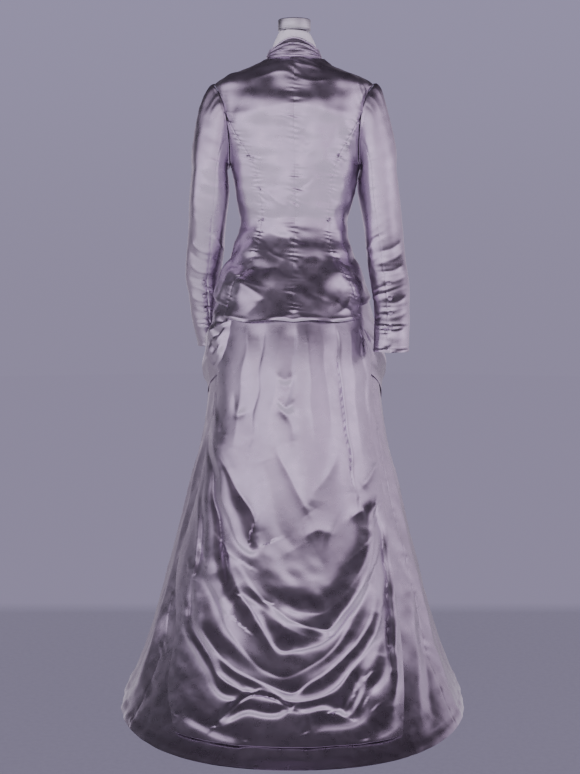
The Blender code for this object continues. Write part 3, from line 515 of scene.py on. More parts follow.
def nearer_end(points, axis):
    """Distance of each point of a grid from the nearer end of its row or column."""
    back = np.flip(lengths(np.flip(points, axis), axis), axis)
    return np.minimum(lengths(points, axis), back)


def placed(name, data):
    """A new object in the scene."""
    made = bpy.data.objects.new(name, data)
    bpy.context.scene.collection.objects.link(made)
    return made


def new_mesh(name, corners, faces):
    mesh = bpy.data.meshes.new(name)
    mesh.from_pydata(corners, [], faces)
    return mesh


def dress_piece(name, mesh, look, nodes):
    mesh.materials.append(look)
    mesh.shade_smooth()
    mesh.set_sharp_from_angle(angle=SHARP_ANGLE)
    made = placed(name, mesh)
    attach(made, "root")
    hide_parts(*nodes)
    return made


def shell(name, points, thickness=CLOTH):
    """Thin closed shell of satin whose outside is a grid of points."""
    rows, columns = points.shape[:2]
    inner = points - grid_normals(points) * thickness
    inner[..., 2] = np.maximum(inner[..., 2], 0.0)
    corners = np.concatenate([points.reshape(-1, 3), inner.reshape(-1, 3)])
    far = rows * columns
    at = np.arange(far).reshape(rows, columns)
    outside = np.stack([at[:-1, :-1], at[:-1, 1:], at[1:, 1:], at[1:, :-1]], -1).reshape(-1, 4)
    border = np.concatenate([at[0, :-1], at[:-1, -1], at[-1, :0:-1], at[:0:-1, 0]])
    after = np.roll(border, -1)
    rim = np.stack([after, border, border + far, after + far], -1)
    mesh = new_mesh(name, corners, np.concatenate([outside, outside[:, ::-1] + far, rim]))
    across = lengths(points, 1)
    across = across - across[:, columns // 2, None]
    upward = lengths(points, 0)
    flat = np.tile(np.stack([across, upward], -1).reshape(-1, 2), (2, 1))
    loops = np.zeros(len(mesh.loops), dtype=np.int32)
    mesh.loops.foreach_get("vertex_index", loops)
    mesh.uv_layers.new(name="cut").data.foreach_set("uv", flat[loops].ravel())
    edges = np.tile(np.minimum(nearer_end(points, 1), nearer_end(points, 0)).ravel(), 2)
    mesh.attributes.new("edge", "FLOAT", "POINT").data.foreach_set("value", edges)
    made = dress_piece(name + "_cloth", mesh, LOOKS["satin"], [name])
    area = np.linalg.norm(np.cross(points[1:, 1:] - points[:-1, :-1],
                                   points[1:, :-1] - points[:-1, 1:]), axis=-1).sum() / 2
    width = float(np.ptp(across, axis=1).max())
    length = float(upward[-1].max())
    area = float(min(max(area, LEAST_AREA_SHARE * width * length), width * length))


def turned(name, node, profile, sides, look, place, axis=(0, 0, 1)):
    """Round piece from (radius, height) pairs along an axis at a place, in a node's stead."""
    axis = np.array(axis, float) / np.linalg.norm(axis)
    guide = np.eye(3)[np.abs(axis).argmin()]
    first = np.cross(guide, axis)
    first = first / np.linalg.norm(first)
    turn = np.arange(sides) * 2 * math.pi / sides
    ring = np.outer(np.cos(turn), first) + np.outer(np.sin(turn), np.cross(axis, first))
    rows = np.array([np.array(place) + ring * radius + axis * height for radius, height in profile])
    at = np.arange(len(profile) * sides).reshape(len(profile), sides)
    beside = np.roll(at, -1, axis=1)
    faces = np.stack([at[:-1], beside[:-1], beside[1:], at[1:]], -1).reshape(-1, 4).tolist()
    faces += [at[0, ::-1].tolist(), at[-1].tolist()]
    dress_piece(name, new_mesh(name, rows.reshape(-1, 3), faces), look, [node])


# Gathered seams: how their ripples drift, slant, swell and reach, uneven along the seam
Pucker = namedtuple("Pucker", "length reach rise seed")
CENTRE_BACK_PUCKER = Pucker(0.0130, 0.0075, 0.0024, 3)
PRINCESS_PUCKER = Pucker(0.0105, 0.0065, 0.0026, 5)
SIDE_PUCKER = Pucker(0.020, 0.010, 0.0012, 7)
FRONT_PUCKER = Pucker(0.030, 0.012, 0.0008, 9)
SLEEVE_PUCKER = Pucker(0.022, 0.010, 0.0008, 13)
CUFF_PUCKER = Pucker(0.0165, 0.017, 0.0030, 15)
SKIRT_PUCKER = Pucker(0.026, 0.013, 0.0016, 17)
# Slow changes along a gathered seam, as (length in ripples, seed)
DRIFT_WAVES = (4, 0)
STRENGTH_WAVES = (3, 1)
SLANT_WAVES = (7, 2)
REACH_WAVES = (2.5, 3)
PUCKER_DRIFT = 1.7
PUCKER_SLANT = 0.9
PUCKER_SLANT_END = 3
PUCKER_STRENGTH = (0.6, 0.7)
PUCKER_STRENGTH_LIMITS = (0.2, 1.15)
PUCKER_REACH_SPREAD = 0.6
PUCKER_REACH_LIMITS = (0.5, 2.2)
OVERTONE = (0.3, 2.3)
RIPPLE_AT_SEAM = 0.35
GROOVE_DEPTH = 0.0006
GROOVE_HALF = 0.0014


def puckered(pucker, along, gap, way=1):
    """Relief of a gathered seam at a distance along it, a gap from it, and one way or the other."""
    def uneven(length, seed, more=0):
        return waves(along[..., None], pucker.length * length, pucker.seed + seed + more)

    slant = PUCKER_SLANT + PUCKER_SLANT * uneven(*SLANT_WAVES)
    phase = 2 * math.pi * along / pucker.length + PUCKER_DRIFT * uneven(*DRIFT_WAVES)
    phase = phase + way * slant * np.minimum(gap / pucker.reach, PUCKER_SLANT_END)
    strength = PUCKER_STRENGTH[0] + PUCKER_STRENGTH[1] * uneven(*STRENGTH_WAVES)
    far = 1 + PUCKER_REACH_SPREAD * uneven(*REACH_WAVES, way)
    far = np.clip(far, *PUCKER_REACH_LIMITS)
    ripple = np.sin(phase) + OVERTONE[0] * np.sin(OVERTONE[1] * phase)
    ripple = ripple * np.clip(strength, *PUCKER_STRENGTH_LIMITS)
    ripple = ripple * np.exp(-gap / (pucker.reach * far))
    free = 1 - np.exp(-(gap / GROOVE_HALF) ** 2)
    shown = between(RIPPLE_AT_SEAM, 1, free)
    return pucker.rise * ripple * shown - GROOVE_DEPTH * (1 - free)


# Bodice
BODICE_SOFT = Soft(0.0029, 37)
WAIST_DRIFT = Drift(0.0011, (0.6, 0.6, 1.3), 0.055, 33)
WAIST_DRIFT_PLACE = (1.00, 0.09)
PATCH_RISE = 0.0026
PATCH_OUT = 0.9
PATCH_DRIFT = Drift(1.0, (1.0, 0.3, 1.4), 0.064, 38)
PATCH_PLACE = (0.965, 0.100)
HEM_ROLL = Ridge(0.005, 0.005, 0.0014)
DEEPEST_CREASE = 0.0011
DEEPER_ABOVE_WAIST = 0.002
DEEPER_FADE = 0.02
HEM_EASE = 0.004
TOP_EASE = 0.006
HOLE_EASE = 0.024
HOLE_START = 0.02

# Creases of the back of the bodice, as (x, z) seen from behind
BACK_FOLDS = folds(
    (86, 30, 45, -160, 1312, -70, 1326, 0, 1336, 70, 1326, 160, 1312),
    (35, 6, 4, -12, 1452, 20, 1446, 56, 1432), (30, 7, 4, -4, 1432, 30, 1430, 70, 1420),
    (30, 8, 5, -88, 1400, -50, 1410, -8, 1411), (30, 8, 6, 8, 1398, 40, 1392, 80, 1396),
    (48, 5, 4, 139, 1398, 147, 1368, 156, 1338), (44, 5, 4, 153, 1396, 160, 1372, 168, 1350),
    (-22, 10, 6, 12, 1275, 24, 1262, 30, 1246), (-22, 10, 6, 8, 1246, 18, 1236, 26, 1222),
    (26, 12, 8, -66, 1150, -35, 1120, -10, 1110), (-28, 12, 8, 4, 1146, 26, 1158, 48, 1178),
    (-40, 10, 10, -70, 1042, -38, 1034, -8, 1040), (-36, 10, 10, 6, 1030, 40, 1034, 74, 1024),
    (30, 8, 6, -60, 1012, -44, 1000, -20, 990), (-36, 12, 10, -76, 966, -40, 970, -10, 962),
    (-36, 12, 10, 8, 972, 28, 980, 60, 956), (36, 8, 6, -132, 956, -104, 936, -70, 926),
    (34, 8, 6, -120, 934, -96, 922, -66, 902), (-45, 18, 14, -148, 996, -118, 984, -90, 990),
    (40, 20, 16, -168, 940, -136, 930, -104, 936), (-45, 18, 14, 86, 992, 116, 984, 150, 998),
    (40, 20, 16, 104, 938, 134, 930, 168, 944), (-34, 10, 10, -20, 926, -50, 900, -86, 896),
    (-34, 10, 10, 22, 920, 50, 906, 84, 890), (26, 6, 4, -32, 853, -14, 866, 2, 880),
    (26, 4, 6, -2, 880, 14, 866, 32, 853), (36, 7, 5, 92, 900, 110, 880, 132, 872),
    (32, 7, 5, 100, 870, 116, 880, 128, 900),
)
# Darts and creases of the fronts, as (distance from the middle, z)
FRONT_FOLDS = folds(
    (-16, 3, 3, 46, 900, 44, 1060, 66, 1200), (-16, 3, 3, 82, 905, 78, 1060, 98, 1190),
    (-12, 2, 2, 15, 880, 15, 1120, 15, 1395), (30, 10, 8, 20, 1046, 60, 1052, 110, 1040),
    (-34, 12, 10, 24, 1024, 64, 1018, 112, 1010), (-30, 12, 10, 30, 960, 70, 974, 120, 962),
    (26, 12, 10, 30, 1270, 70, 1290, 130, 1330), (-24, 12, 10, 40, 1318, 80, 1340, 130, 1366),
)


def panel_row(rows, angle, hem):
    """Height of a panel's rows at an angle, where its hem there lifts the lowest of them."""
    raise_hem = smooth(hem, "height", np.degrees(angle), by="angle") - HEM_ROW
    return rows + raise_hem * (1 - step(rows, HEM_ROW, BASQUE_WAVES_TOP))


def bodice_panel(name, side, top_row, start, end, hem, grid, puckers, creases, hole):
    """One panel of the bodice between two angles that vary with the height. A hole is the edge
    (0 start, 1 end) along the armhole and the row where that begins."""
    rows = np.linspace(HEM_ROW, top_row, grid[1])[:, None]
    half_gap = SHOWN_GAP / smooth(BODY, "half_width", rows)
    first = start(panel_row(rows, start(rows), hem)) + half_gap
    last = end(panel_row(rows, end(rows), hem)) - half_gap
    angle = between(first, last, np.linspace(0, 1, grid[0]))
    row = panel_row(rows, angle, hem)
    if side < 0:
        angle = -angle[:, ::-1]
        row = row[:, ::-1]
        puckers = puckers[::-1]
        hole = (1 - hole[0], hole[1])
    points = body(angle, row)
    height = points[..., 2]
    upward = lengths(points, 0)
    gaps = edge_gaps(points)
    rise = soft(points, BODICE_SOFT)
    rise += hump(height, *WAIST_DRIFT_PLACE) * drift(points, WAIST_DRIFT)
    for pucker, gap, way in zip(puckers, gaps, (1, -1)):
        rise += puckered(pucker, height, gap, way)
    across = np.abs(points[..., 0]) if creases is FRONT_FOLDS else points[..., 0]
    rise += fold_field(creases, across, height)
    rise += PATCH_RISE * hump(height, *PATCH_PLACE) * (PATCH_OUT + drift(points, PATCH_DRIFT))
    rise += ridges(upward, HEM_ROLL)
    deepest = DEEPEST_CREASE + DEEPER_ABOVE_WAIST * step(height, WAIST_TOP, WAIST_TOP + DEEPER_FADE)
    rise = np.where(rise < 0, deepest * np.tanh(rise / deepest), rise)
    ease = step(upward, 0, HEM_EASE) * step(upward[-1:] - upward, 0, TOP_EASE)
    beside_hole = step(rows, hole[1], hole[1] + HOLE_START)
    beside_hole = beside_hole * (1 - step(rows, SHOULDER_TOP, NECK_ROW))
    reach = np.minimum(HOLE_EASE, gaps[0][:, -1:] / 2)
    ease = ease * (1 - beside_hole * (1 - step(gaps[hole[0]] / reach, 0, 1)))
    shell(name, relief(points, rise * ease))


BODICE_PIECES = (
    ("back", NECK_ROW, np.zeros_like, princess_angle, BACK_HEM, (44, 250),
     (CENTRE_BACK_PUCKER, PRINCESS_PUCKER), BACK_FOLDS, (1, PRINCESS_TOP)),
    ("side", SIDE_TOP_ROW, princess_angle, side_panel_end, SIDE_HEM, (32, 190),
     (PRINCESS_PUCKER, SIDE_PUCKER), BACK_FOLDS, (1, UNDERARM)),
    ("front", NECK_ROW, front_panel_start, front_middle, FRONT_HEM, (50, 170),
     (SIDE_PUCKER, FRONT_PUCKER), FRONT_FOLDS, (0, UNDERARM)),
)


def make_bodice():
    for side, word in SIDES:
        for piece, *shape in BODICE_PIECES:
            bodice_panel(f"bodice_{piece}_{word}", side, *shape)


COLLAR_DRIFT = Drift(0.0008, (0.5, 0.5, 2.0), 0.030, 41)
COLLAR_PLEATS = 3.4
COLLAR_PLEAT_RISE = 0.0032
COLLAR_PLEAT_SWAY = Drift(0.22, (1, 1, 0.4), 0.09, 43)
COLLAR_LIP = 0.16
COLLAR_EASE = (0.10, 0.08)


def make_collar(columns=160, rows=58):
    angle = np.linspace(-math.pi + COLLAR_OPENING, math.pi - COLLAR_OPENING, columns)[None, :]
    share = np.linspace(0, 1, rows)[:, None]
    points = collar(angle, share)
    place = (COLLAR_PLEATS * share + drift(points, COLLAR_PLEAT_SWAY)) % 1
    rise = COLLAR_PLEAT_RISE * (1 - place) * step(place, 0, COLLAR_LIP)
    rise = (rise + drift(points, COLLAR_DRIFT)) * step(share, 0, COLLAR_EASE[0])
    rise = rise * step(1 - share, 0, COLLAR_EASE[1])
    shell("collar", relief(points, rise))


# Sleeves
# Creases of a sleeve, as (distance round it from its back seam, z); the elbow bends there
SLEEVE_FOLDS = folds(
    (34, 7, 5, -50, 1030, -22, 1012, 6, 1004), (-21, 7, 6, -54, 1008, -24, 990, 10, 980),
    (30, 7, 5, -46, 976, -20, 962, 12, 958), (-20, 8, 6, -50, 950, -20, 940, 14, 944),
    (26, 7, 5, 0, 1046, 24, 1022, 50, 1012), (-17, 8, 6, 4, 1000, 26, 986, 52, 990),
    (28, 6, 5, 8, 922, 28, 906, 54, 902), (28, 6, 5, -52, 906, -26, 892, -4, 888),
    (-18, 7, 6, -56, 872, -30, 862, -6, 858), (-17, 7, 6, 6, 868, 30, 856, 56, 862),
    (26, 6, 5, -50, 836, -24, 826, 4, 828), (-52, 12, 10, 44, 1330, 40, 1260, 46, 1190),
    (36, 12, 10, -10, 1290, 4, 1180, 0, 1080),
)
SLEEVE_RADIUS = 0.043
SLEEVE_SOFT = Soft(0.0011, 51)
SLEEVE_DRIFT = Drift(0.0016, (1.0, 1.0, 0.22), 0.060, 53)
CUFF_PUCKERED = (0.92, 0.98)
CUFF_TURNING = Ridge(0.0045, 0.0036, 0.0010)
CUFF_STITCH = Ridge(0.0090, 0.0012, -0.0010)
SLEEVE_TOP_EASE = 0.007
HEAD_PLEATS = 26
HEAD_PLEAT_RISE = 0.0022
HEAD_PLEAT_SWAY = Drift(1.6, 1, 0.5, 57)
HEAD_PLEATED = (0.86, 0.99)
HEAD_UPPER_SIDE = (0.15, 0.75)
HEAD_SINK = 0.0012
SLEEVE_PIECES = (
    ("upper", SLEEVE_FRONT_SEAM - 360, SLEEVE_BACK_SEAM, 58, (False, True)),
    ("under", SLEEVE_BACK_SEAM, SLEEVE_FRONT_SEAM, 42, (True, False)),
)


def sleeve_panel(name, table, start, end, side, columns, seams, rows=210):
    """One of the two pieces of a sleeve, between two seams given as turns. Of its seams the one
    at the back is gathered at the cuff."""
    seam_turn = math.degrees(SHOWN_GAP / SLEEVE_RIGHT[0].half_width)
    turns = np.radians(np.linspace(start + seam_turn, end - seam_turn, columns))[::-side]
    share = np.linspace(0, 1, rows)[:, None]
    points = sleeve(table, turns[None, :], share, side)
    upward = lengths(points, 0)
    height = points[..., 2]
    turn = np.broadcast_to(turns[None, :], height.shape)
    rise = soft(points, SLEEVE_SOFT, 2 * side) + drift(points, SLEEVE_DRIFT, side)
    from_back = (turn - math.radians(SLEEVE_BACK_SEAM)) * SLEEVE_RADIUS
    rise += fold_field(SLEEVE_FOLDS, from_back, height)
    for is_back, gap, way in zip(seams, edge_gaps(points)[::-side], (1, -1)):
        rise += puckered(SLEEVE_PUCKER, height, gap, way)
        if is_back:
            rise += (1 - step(height, *CUFF_PUCKERED)) * puckered(CUFF_PUCKER, height, gap, way)
    pleats = np.sin(HEAD_PLEATS * turn + drift(turn[..., None], HEAD_PLEAT_SWAY, side))
    head = step(share, *HEAD_PLEATED) * step(np.cos(turn), *HEAD_UPPER_SIDE)
    rise += (HEAD_PLEAT_RISE * pleats - HEAD_SINK) * head
    rise += ridges(upward, CUFF_TURNING, CUFF_STITCH)
    rise *= step(upward[-1:] - upward, 0, SLEEVE_TOP_EASE)
    shell(name, relief(points, rise))


def make_sleeves():
    for (side, word), table in zip(SIDES, (SLEEVE_RIGHT, SLEEVE_LEFT)):
        for piece, start, end, columns, seams in SLEEVE_PIECES:
            sleeve_panel(f"sleeve_{piece}_{word}", table, start, end, side, columns, seams)


# Covered buttons: (share of radius, share of radius) from the cloth to the top of the dome
BUTTON_PROFILE = (
    (0.84, 0.00), (0.96, 0.03), (1.00, 0.12), (1.00, 0.20), (0.95, 0.27), (0.88, 0.30),
    (0.84, 0.28), (0.78, 0.34), (0.62, 0.43), (0.42, 0.49), (0.20, 0.52), (0.06, 0.525),
)
BUTTON_SIDES = 28


def make_buttons():
    """A covered button over each of the frame's, as large and facing the same way."""
    for name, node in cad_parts.items():
        if "button" not in name:
            continue
        corners = np.array([corner.co for corner in node.data.vertices])
        middle = corners.mean(0)
        flat = np.linalg.svd(corners - middle)[2]
        out = flat[2] if "front" not in name else np.array((0.0, 1.0, 0.0))
        height = (corners - middle) @ out
        wide = np.linalg.norm(np.cross(corners - middle, out), axis=1)
        if wide[height > 0].mean() > wide[height < 0].mean():
            out, height = -out, -height
        place = middle + out * height.min()
        profile = [(r * wide.max(), h * wide.max()) for r, h in BUTTON_PROFILE]
        turned(name + "_covered", name, profile, BUTTON_SIDES, LOOKS["button"], place, out)


# Skirts
# Pleats, tacks and rolls of the back drape, as (x, z) seen from behind
DRAPE_FOLDS = folds(
    # pleats hanging from the waist
    (-60, 5, 18, -57, 862, -76, 740, -96, 600), (-60, 4, 20, 1, 862, -4, 760, -12, 660),
    (-100, 3, 22, 91, 862, 110, 650, 136, 480), (-60, 5, 14, 145, 856, 160, 720, 176, 570),
    (34, 16, 8, 30, 858, 34, 740, 40, 620), (36, 16, 8, 62, 858, 72, 730, 86, 600),
    (34, 14, 8, -28, 860, -36, 750, -50, 620), (40, 12, 8, -98, 858, -116, 720, -132, 580),
    (44, 10, 7, 120, 858, 134, 720, 150, 560),
    # tacks and hollows of the smooth middle
    (-60, 16, 12, -38, 581, 9, 489, 35, 439), (-50, 12, 18, 35, 456, 57, 501, 97, 566),
    (-40, 8, 8, -34, 684, -10, 640, 1, 590), (50, 26, 22, -72, 560, -40, 440, 0, 370),
    (-64, 12, 12, 22, 399, 56, 410, 86, 400), (-64, 12, 12, 118, 425, 140, 438, 158, 445),
    (-80, 12, 10, -185, 700, -172, 650, -158, 600), (40, 6, 6, -192, 704, -180, 650, -165, 604),
    (-55, 8, 8, -134, 691, -130, 648, -102, 651), (34, 8, 5, -36, 738, -20, 727, -4, 732),
    (-22, 5, 5, -30, 722, -18, 717, -8, 722), (40, 8, 6, -36, 688, -15, 668, 8, 690),
    (-30, 6, 10, -28, 668, -14, 652, 4, 664), (-70, 12, 10, 150, 496, 172, 512, 188, 528),
    # folds that fan out from the left hip
    (-150, 6, 7, -200, 620, -190, 556, -179, 500, -164, 430, -148, 352, -140, 300),
    (-110, 14, 10, -176, 580, -149, 526, -121, 484, -94, 444, -78, 400),
    (100, 7, 6, -206, 560, -214, 470, -216, 400, -214, 330, -218, 252),
    (-100, 6, 6, -200, 520, -204, 440, -206, 350, -222, 249, -222, 190),
    # roll down the right edge
    (160, 10, 10, 196, 480, 212, 369, 218, 250, 214, 140, 206, 66),
    (-150, 7, 7, 180, 460, 196, 360, 202, 250, 198, 130),
)
# Folds with a lip, which bulge out above their path and turn under there
SWAGS = folds(
    # from the left hip
    (160, 24, 5, -187, 608, -168, 523, -148, 443, -120, 389, -94, 368, -72, 377),
    (140, 30, 6, -204, 540, -204, 450, -198, 360, -189, 310, -165, 262, -135, 240),
    # across the drape
    (60, 50, 20, -70, 330, 0, 306, 60, 312, 110, 345),
    (90, 16, 5, -40, 271, 2, 256, 58, 256, 90, 275, 120, 304, 146, 339, 176, 400),
    (130, 22, 4, -141, 366, -82, 304, -22, 249, 9, 234, 44, 229, 76, 230, 104, 249, 130, 278, 155,
     320, 178, 420), (70, 12, 5, -103, 277, -61, 264, -22, 236, 16, 218, 61, 214),
    (140, 20, 4, -137, 347, -111, 295, -82, 253, -53, 211, -36, 190, -15, 184, 23, 191, 58, 205,
     97, 228, 132, 262, 160, 320, 180, 430),
    (190, 32, 7, -189, 326, -165, 273, -145, 229, -116, 196, -84, 169, -53, 151, -10, 146, 40,
     165, 86, 198, 122, 238, 156, 300),
    (150, 18, 4, -212, 290, -197, 221, -169, 184, -132, 160, -94, 144, -52, 129, -18, 121, 5, 121,
     29, 132, 64, 148, 102, 171, 138, 202, 164, 250, 178, 340, 184, 440),
    (150, 16, 4, -228, 300, -212, 227, -187, 184, -164, 150, -146, 136, -107, 120, -66, 112, -25,
     108, 36, 107, 70, 118, 112, 141, 152, 178, 180, 226, 192, 300, 192, 440),
    (120, 12, 4, -238, 231, -228, 191, -205, 158, -178, 132, -162, 113, -144, 101, -113, 101, -89,
     111), (100, 14, 6, 159, 101, 182, 120, 196, 160),
    (90, 14, 6, 128, 118, 156, 155, 180, 197, 190, 242),
    # leaves of cloth that lie on the train
    (130, 5, 16, -152, 60, -126, 84, -89, 103, -52, 104, -8, 91),
    (110, 10, 4, -150, 60, -105, 76, -65, 74, -38, 77, -8, 90),
    (100, 10, 4, -5, 86, 35, 86, 62, 90, 82, 87, 106, 77),
    (120, 10, 4, 82, 88, 110, 105, 128, 119, 144, 127),
    (100, 10, 4, 84, 82, 110, 86, 135, 104, 148, 122),
    (80, 14, 6, 35, 50, 78, 56, 122, 67, 161, 77), (80, 14, 6, 150, 40, 192, 42, 216, 50),
    (80, 10, 5, -238, 56, -206, 51, -171, 47, -127, 40, -103, 36),
)
SWAG_LEAN = 0.62
# Rows of the drape's grid, closer together where its folds are finer: from, to, how many
DRAPE_ROWS = ((0.030, 0.300, 138), (0.300, 0.620, 104), (0.620, 0.870, 50), (0.870, 1.056, 14))
DRAPE_SWAY_ACROSS = Drift(0.004, 1, 0.11, 62)
DRAPE_SWAY_DOWN = Drift(0.004, 1, 0.13, 63)
DRAPE_DRIFT = Drift(0.0010, (1.0, 0.45), 0.080, 64)
DRAPE_DRIFT_ABOVE = 0.7
DRAPE_CRUMPLE = Drift(0.0005, (1.0, 1.8), 0.045, 66)
DRAPE_SLACK = Drift(1, 1, 0.30, 61)
DRAPE_LOW = (0.28, 0.42)
EDGE_MARGIN = 0.05
EDGE_FOLD_SHARE = 0.65

# Folds of the skirt under the drape, as (degrees from the back x TURN_SCALE, z)
SKIRT_FOLDS = folds(
    (80, 60, 40, 700, 40, 710, 300, 740, 600), (-70, 50, 50, 840, 20, 840, 300, 860, 640),
    (90, 50, 60, 970, 20, 970, 300, 960, 620), (-80, 50, 60, 1160, 10, 1150, 300, 1130, 640),
    (90, 70, 70, 1360, 10, 1340, 280, 1300, 560), (-80, 70, 70, 1580, 10, 1560, 260, 1520, 560),
    (80, 80, 80, 1800, 10, 1800, 250, 1800, 540),
)
# Folds of the train, as (x, z)
TRAIN_FOLDS = folds(
    (-40, 10, 30, -290, 30, -120, 18, 60, 14, 250, 26),
    (50, 20, 20, -345, 60, -318, 130, -290, 220), (-60, 20, 20, -318, 50, -296, 120, -270, 200),
    (50, 20, 16, 262, 40, 266, 140, 252, 260), (-60, 16, 16, 292, 36, 286, 120, 270, 220),
)
TURN_SCALE = 0.01
Panel = namedtuple("Panel", "name start end columns rows")
GORES = rows_of(
    Panel, ("skirt_train", -62, 62, 150, 145), ("skirt_side_right", 62, 100, 54, 170),
    ("skirt_front", 100, 260, 104, 130), ("skirt_side_left", -100, -62, 54, 170),
)
GORE_ROW_POWER = 1.25
GORE_SOFT = Soft(0.0012, 81)
TRAIN_FOLDED = (0.80, 0.95)
HEM_TURNING = Ridge(0.012, 0.010, 0.0012)
HEM_STITCH = Ridge(0.026, 0.0015, -0.0010)
GORE_CALM = 0.9
GORE_CALMED = (0.60, 0.80)

# Looped pleats of the puff at the left hip, as (x less that of the front drape's end, z)
PUFF_FOLDS = folds(
    (90, 12, 4, -90, 858, -66, 838, -46, 828, -24, 836, -6, 856),
    (105, 14, 4, -100, 850, -74, 812, -50, 796, -26, 806, -6, 838),
    (105, 14, 4, -110, 838, -78, 784, -50, 764, -26, 776, -6, 812),
    (90, 12, 4, -120, 822, -84, 760, -50, 740, -24, 750, -6, 784),
)
PUFF_LEAN = 0.5
# Swags across the front drape, as (share across, z)
APRON_FOLDS = folds(
    (90, 40, 10, 20, 800, 250, 690, 500, 640, 750, 690, 980, 800),
    (100, 40, 10, 30, 860, 250, 770, 500, 724, 750, 770, 970, 860),
    (80, 36, 10, 100, 880, 300, 830, 500, 804, 700, 830, 900, 880),
)
APRON_FOLD_START = 0.1
APRON_TUCK = 0.4
APRON_TUCK_TOP = 0.10
APRON_SIDE_SHARE = 0.32
APRON_SIDE = (0.15, 0.40)
APRON_END_SHARE = 0.05
APRON_LEFT_LIFT = 0.0004
APRON_OVER_SHARE = 0.55
APRON_RIGHT_LIFT = 0.0042
APRON_LOW_LIFT = -0.0026
APRON_LOW_TOP = 0.22
APRON_LOW_SIDE = (0.22, 0.40)
APRON_LOW_START = 0.03
APRON_LOW_CALM_RIGHT = 0.9
APRON_LOW_CALM_LEFT = 0.2
APRON_SOFT = Soft(0.0012, 71)
APRON_LOOSE = (0.40, 0.62)
APRON_TIGHT_SHARE = 0.08
APRON_DEEPEST = 0.6
APRON_EDGE_EASE = 0.014
APRON_HEM_EASE = 0.06
APRON_HEM_SHARE = 0.3
# Pleats that spread from a hip over the front drape: share 1 is the left hip, 0 the right
Fan = namedtuple("Fan", "share angle rise half")
FANS = rows_of(
    Fan, (1, -34, -0.004, 6), (1, -19, 0.005, 6), (1, -4, -0.004, 6), (1, 12, 0.004, 6),
    (0, -80, 0.003, 7), (0, -60, -0.003, 7), (0, -42, 0.003, 7), (0, -24, -0.003, 7),
)
FAN_CENTRE = 0.36
FAN_START = (0.004, 0.05)
FAN_END = (0.10, 0.26)


def make_drape(columns=156):
    height = np.concatenate([np.linspace(low, high, count, endpoint=high == OVERSKIRT_TOP)
                             for low, high, count in DRAPE_ROWS])[:, None]
    share, height = np.broadcast_arrays(np.linspace(0, 1, columns)[None, :], height)
    x = between(smooth(DRAPE_EDGES, "left", height), smooth(DRAPE_EDGES, "right", height), share)
    lift = smooth(DRAPE_LIFT, "lift", height)
    free = 1 - step(height, DRAPE_FREE_FULL, DRAPE_FREE_TOP)
    edge = 1 - EDGE_DRAW_IN * np.abs(2 * share - 1) ** EDGE_SHARPNESS * free
    place = np.stack([x, height], axis=-1)
    sway_x = x + drift(place, DRAPE_SWAY_ACROSS)
    sway_z = height + drift(place, DRAPE_SWAY_DOWN)
    rise = fold_field(DRAPE_FOLDS, sway_x, sway_z)
    rise = rise + fold_field(SWAGS, sway_x, sway_z, lean=SWAG_LEAN)
    low = 1 - step(height, *DRAPE_LOW)
    rise = rise + (DRAPE_DRIFT_ABOVE + low) * drift(place, DRAPE_DRIFT)
    rise = rise + low * (1 + drift(place, DRAPE_SLACK)) * drift(place, DRAPE_CRUMPLE)
    inside = step(share, 0.0, EDGE_MARGIN) * step(1 - share, 0.0, EDGE_MARGIN)
    fold_share = between(EDGE_FOLD_SHARE, 1, inside)
    depth, facing = back_depth(x, height)
    out = lift * edge / np.maximum(facing, LEAST_FACING)
    out = out + np.maximum(rise, -DEEPEST_HOLLOW * lift) * free * fold_share
    points = np.stack([x, depth - out, height], axis=-1)
    shell("back_drape", points)


def apron_lift(share, rise, sag, height):
    """How far the front drape stands off the skirt, before its folds, and how much of its low
    sides is drawn in there."""
    lift = smooth(APRON_LIFT, "lift", rise)
    free = 1 - step(rise, APRON_FREE_FULL, APRON_FREE_TOP)
    for swag in APRON_SWAGS:
        level = between(swag.end, swag.middle, sag)
        lift = lift + free * swag.rise * hump(rise, level, swag.half_width)
    lift = lift * between(APRON_TUCK, 1, step(rise, 0, APRON_TUCK_TOP))
    from_end = np.minimum(share, 1 - share)
    lift = lift * between(APRON_SIDE_SHARE, 1, step(from_end, *APRON_SIDE))
    at_end = (1 - step(from_end, 0.0, APRON_END_SHARE)) * free
    over_drape = APRON_LEFT_LIFT + APRON_OVER_SHARE * smooth(DRAPE_LIFT, "lift", height)
    lift = between(lift, np.where(share > 0.5, over_drape, APRON_RIGHT_LIFT), at_end)
    low_side = (1 - step(rise, 0.0, APRON_LOW_TOP)) * (1 - step(from_end, *APRON_LOW_SIDE))
    low_side = low_side * step(from_end, 0, APRON_LOW_START)
    return between(lift, APRON_LOW_LIFT, low_side), low_side


